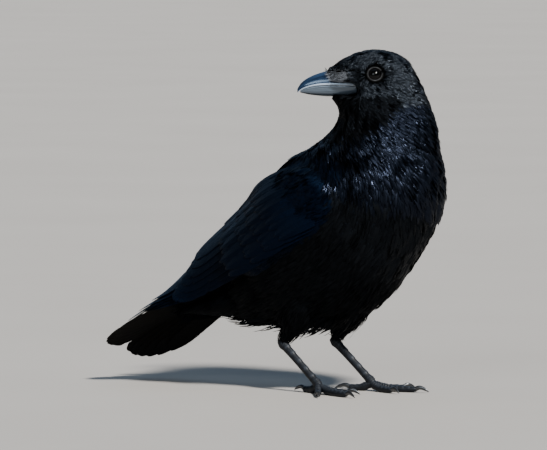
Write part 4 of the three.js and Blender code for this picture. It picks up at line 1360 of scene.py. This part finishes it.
# %% Lids
LID = (
    # distance from the axis, height over the ball's middle
    (5.35, 5.7), (5.4, 6.15), (5.7, 6.5), (6.2, 6.55), (6.6, 6.3), (6.8, 6.1), (7.0, 6.05),
    (7.2, 5.8), (7.5, 5.3), (7.8, 4.7), (7.8, 4.0), (7.1, 3.5), (6.1, 4.8),
)  # fmt: skip
SMOOTH_WITHIN = 5.6  # nearer the axis the lid touches the ball and has no beads
lid_finish, tree, shader = new_material("bare_lid", Specular_IOR_Level=0.12)
folds = grain(tree, 70, 14)
bare = ramp(tree, folds, (0.35, (0.04, 0.042, 0.046)), (0.7, (0.11, 0.115, 0.125)))
off_axis = node(tree, "ShaderNodeSeparateXYZ", vane_map(tree)).outputs[1]
# A thin painted highlight round the lid's inner rim, next to the ball, broken into beads by noise.
painted_rim_highlight = ramp(tree, off_axis, (0.0, grey(0.02)), (0.15, grey(0.07)), (0.22, grey(0.75)),
                (0.3, grey(0.02)))  # fmt: skip
painted_rim_highlight = mixed(tree, 1.0, bare, painted_rim_highlight, "MULTIPLY")
broken = ramp(tree, grain(tree, 11, 2), (0.38, grey(0.12)), (0.62, grey(1.0)))
tree.links.new(mixed(tree, 1.0, painted_rim_highlight, broken, "MULTIPLY"), shader.inputs["Base Color"])
tree.links.new(math_node(tree, "MULTIPLY_ADD", folds, 0.3, 0.6), shader.inputs["Roughness"])
bumped(tree, shader, folds, 0.7, 0.15)


def beads(a):
    """Small knobs round the ring, some larger than others."""
    return 0.012 * np.sin(46 * a) * np.sin(3 * a + 1)


def lid(side):
    profile = catmull([(r, h, 0) for r, h in (*LID, LID[0])], np.linspace(0, 1, 44))[:-1]
    rings = [eye_ring(side, r, h, 96, beads if r > SMOOTH_WITHIN else None) for r, h, _ in profile]
    return np.array(rings).transpose(1, 0, 2)


def hoop(name, rings):
    """A closed ring of cross-sections."""
    count, sides = rings.shape[:2]
    faces = []
    for r in range(count):
        this, after = r * sides, (r + 1) % count * sides
        for s in range(sides):
            n = (s + 1) % sides
            faces.append((this + s, this + n, after + n, after + s))
    round_ring, round_section = np.arange(count) / count, np.arange(sides) / sides
    uv = np.stack([np.repeat(round_ring, sides), np.tile(round_section, count)], 1)
    return outward(new_piece(name, rings.reshape(-1, 3), faces, uv))


for side in SIDES:
    ring = hoop(f"lids_{side}", lid(side))
    ring.data.materials.append(lid_finish)
    finished(ring, "plumage")
print("lids:", triangles(ring), "triangles each")

# %% [markdown]
# ## Legs and feet
# Below the feathers the leg is horn over bone. The front of the shank carries large overlapping
# scutes, the toes carry smaller ones above and soft pads below, and each toe ends in a curved claw.
# The scutes are real steps in the mesh, since they show as a row of light edges; the finish adds a
# painted highlight along each edge and painted shade in each step.

# %% Finish of the scutes
leg_finish, tree, shader = new_material("leg_scutes", Specular_IOR_Level=0.14)
speckle = grain(tree, 26, 40)
horny = ramp(tree, speckle, (0.35, (0.0045, 0.0055, 0.0075)), (0.72, (0.011, 0.013, 0.0165)))
# Front scutes: a painted highlight towards each free edge, painted shade in the step after it.
painted_scute_light = ramp(tree, stored(tree, "scale"), (0.0, grey(0.75)), (0.6, grey(1.3)), (0.85, grey(2.6)),
                (0.96, grey(0.25)))  # fmt: skip
tree.links.new(mixed(tree, 1.0, horny, painted_scute_light, "MULTIPLY"), shader.inputs["Base Color"])
tree.links.new(math_node(tree, "MULTIPLY_ADD", speckle, 0.25, 0.34), shader.inputs["Roughness"])
bumped(tree, shader, speckle, 0.6, 0.15)

# %% Tubes with scutes
SCUTE_STEP = 0.6  # how far the free end of a scute stands out


def axes_along(path):
    """Sideways and upward axes at each point of a path that never runs straight up."""
    onward = unit(np.gradient(path, axis=0))
    sideways = unit(np.cross(onward, UP))
    return sideways, np.cross(sideways, onward)


def scutes(f, number):
    """Steps along a length: each scute swells towards its free end, then drops."""
    phase = (f * number) % 1.0
    return (phase**1.5) * (1 - step(phase, 0.88, 1.0)) * SCUTE_STEP


def scaled_tube(name, rings, number, front):
    """A tube whose points also know how far along its scale each one lies, for the finish."""
    obj = tube(name, rings)
    phase = (np.linspace(0, 1, len(rings)) * number) % 1.0
    paint(obj, "scale", np.append((phase[:, None] * front).ravel(), (0, 0)))
    return with_finishes(obj, leg_finish)


# %% Shanks
SHANK_SCUTES = 12
SHANK = (
    # from the hock to the ankle, and radius
    (-0.06, 3.4), (0.04, 5), (0.16, 4), (0.5, 3.5), (0.85, 3.7), (0.97, 4.6), (1.05, 3.4),
)  # fmt: skip


def shank(side):
    """The rings of a shank, and how much of each point faces forwards."""
    f = np.linspace(0, 1, 110)
    hock, ankle = np.array(HOCK[side]), np.array(ANKLE[side])
    stations = catmull([(*station, 0) for station in SHANK], f)
    path = hock + (ankle - hock) * stations[:, :1]
    sideways, upward = axes_along(path)
    a = np.linspace(0, 2 * math.pi, 36, endpoint=False)
    front = np.clip(1.4 * (np.cos(a) + 0.35), 0, 1) ** 0.5
    back_ridge = np.clip(-np.cos(a), 0, 1) ** 6
    radius = stations[:, 1:2] * 0.93 + scutes(f, SHANK_SCUTES)[:, None] * front + 0.35 * back_ridge
    rings = path[:, None] + upward[:, None] * (radius * np.cos(a))[..., None]
    return rings + sideways[:, None] * (0.86 * radius * np.sin(a))[..., None], front


for side in SIDES:
    rings, front = shank(side)
    leg = scaled_tube(f"shank_scaled_{side}", rings, SHANK_SCUTES, front)
    finished(leg, "leg_scales", f"shank_{side}")
    print(leg.name, triangles(leg), "triangles")

# %% Toes
HEADING = {"left": 6, "right": -27}  # of the middle toe, in degrees
TOES = (
    # name, spread from the middle toe, length, radius at root and end, pads, claw length
    ("inner", 32, 30, 3.2, 2.5, 2, 12),
    ("middle", 0, 43, 3.5, 2.6, 3, 13.5),
    ("outer", -36, 32, 3.1, 2.4, 3, 11.5),
    ("hind", 180, 21, 3.6, 2.9, 1, 16),
)
TOE_CENTRE = 2.6  # height of a toe's middle over the ground
SOLE = 0.02  # no point of a toe lies lower
TOE_SCUTE = 3.4  # about how long a scute of a toe is


def toe_line(side, spread):
    """A function that places points on a toe's line, from the distance out and the height."""
    way = math.radians(HEADING[side] - SIDES[side] * spread)
    direction = np.array((math.cos(way), math.sin(way), 0))
    root = np.array((*ANKLE[side][:2], 0))

    def at(distance, height):
        return root + direction * distance + UP * height

    return at


def toe(side, spread, length, root_radius, end_radius, pads):
    at = toe_line(side, spread)
    f = np.linspace(0, 1, 90)
    heights = ((0, 6.2), (0.2, 5), (0.45, TOE_CENTRE + 0.5), (1, TOE_CENTRE))
    path = catmull([at(length * g, z) for g, z in heights], f)
    sideways, upward = axes_along(path)
    a = np.linspace(0, 2 * math.pi, 28, endpoint=False)
    above_ = np.clip(np.sin(a), 0, 1) ** 0.5
    below = np.clip(-np.sin(a), 0, 1)
    rounding = np.sqrt(1 - np.clip((f - 0.9) / 0.102, 0, 1) ** 2 * 0.6)
    taper = (root_radius + (end_radius - root_radius) * f) * rounding
    pad = 0.75 * np.sin(np.pi * np.clip(f * (pads + 0.5) - 0.25, 0, pads)) ** 2
    number = round(length / TOE_SCUTE)
    radius = (taper * 0.97)[:, None] + scutes(f, number)[:, None] * above_
    radius = radius + pad[:, None] * (0.4 + 0.6 * below)
    radius = radius + 0.1 * below * np.sin(f * length * 4.2)[:, None] * np.sin(9 * a)
    rings = path[:, None] + sideways[:, None] * (radius * np.cos(a))[..., None]
    rings = rings + upward[:, None] * (radius * np.sin(a))[..., None]
    rings[..., 2] = np.maximum(rings[..., 2], SOLE)
    return rings, number, above_


# %% Claws
def claw(side, spread, length, claw_length):
    at = toe_line(side, spread)
    start = length - 1.5
    heights = ((0, TOE_CENTRE + 0.6), (0.35, TOE_CENTRE + 2.2), (0.75, TOE_CENTRE + 0.6), (1, 1.0))
    f = np.linspace(0, 1, 30)
    path = catmull([at(start + claw_length * g, z) for g, z in heights], f)
    sideways, upward = axes_along(path)
    a = np.linspace(0, 2 * math.pi, 20, endpoint=False)
    radius = catmull([(2.1, 0, 0), (1.8, 0, 0), (1.25, 0, 0), (0.3, 0, 0)], f)[:, :1]
    rings = path[:, None] + sideways[:, None] * (0.72 * radius * np.cos(a))[..., None]
    return rings + upward[:, None] * (radius * np.sin(a) * (1 + 0.15 * (np.sin(a) < 0)))[..., None]


claw_finish = horn_finish("claw_horn", (0.004, 0.004, 0.0045), (0.012, 0.012, 0.0125), 0.32,
                          CLAW_SHEEN)  # fmt: skip

# %% Both feet
for side in SIDES:
    for name, spread, length, root_radius, end_radius, pads, claw_length in TOES:
        rings, number, above_ = toe(side, spread, length, root_radius, end_radius, pads)
        piece = scaled_tube(f"scaled_toe_{side}_{name}", rings, number, above_)
        finished(piece, "leg_scales", f"toe_{side}_{name}")
        nail = tube(f"nail_{side}_{name}", claw(side, spread, length, claw_length))
        nail.data.materials.append(claw_finish)
        finished(nail, "horn", f"claw_{side}_{name}")
print("toes:", 2 * len(TOES), "each with a claw")

# %% [markdown]
# ## Clearing up
# The four blades were only patterns, and go.

# %% Sizes, and the end
for pattern in (hackle, round_feather, wisp, bristle):
    bpy.data.objects.remove(pattern)
low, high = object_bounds()
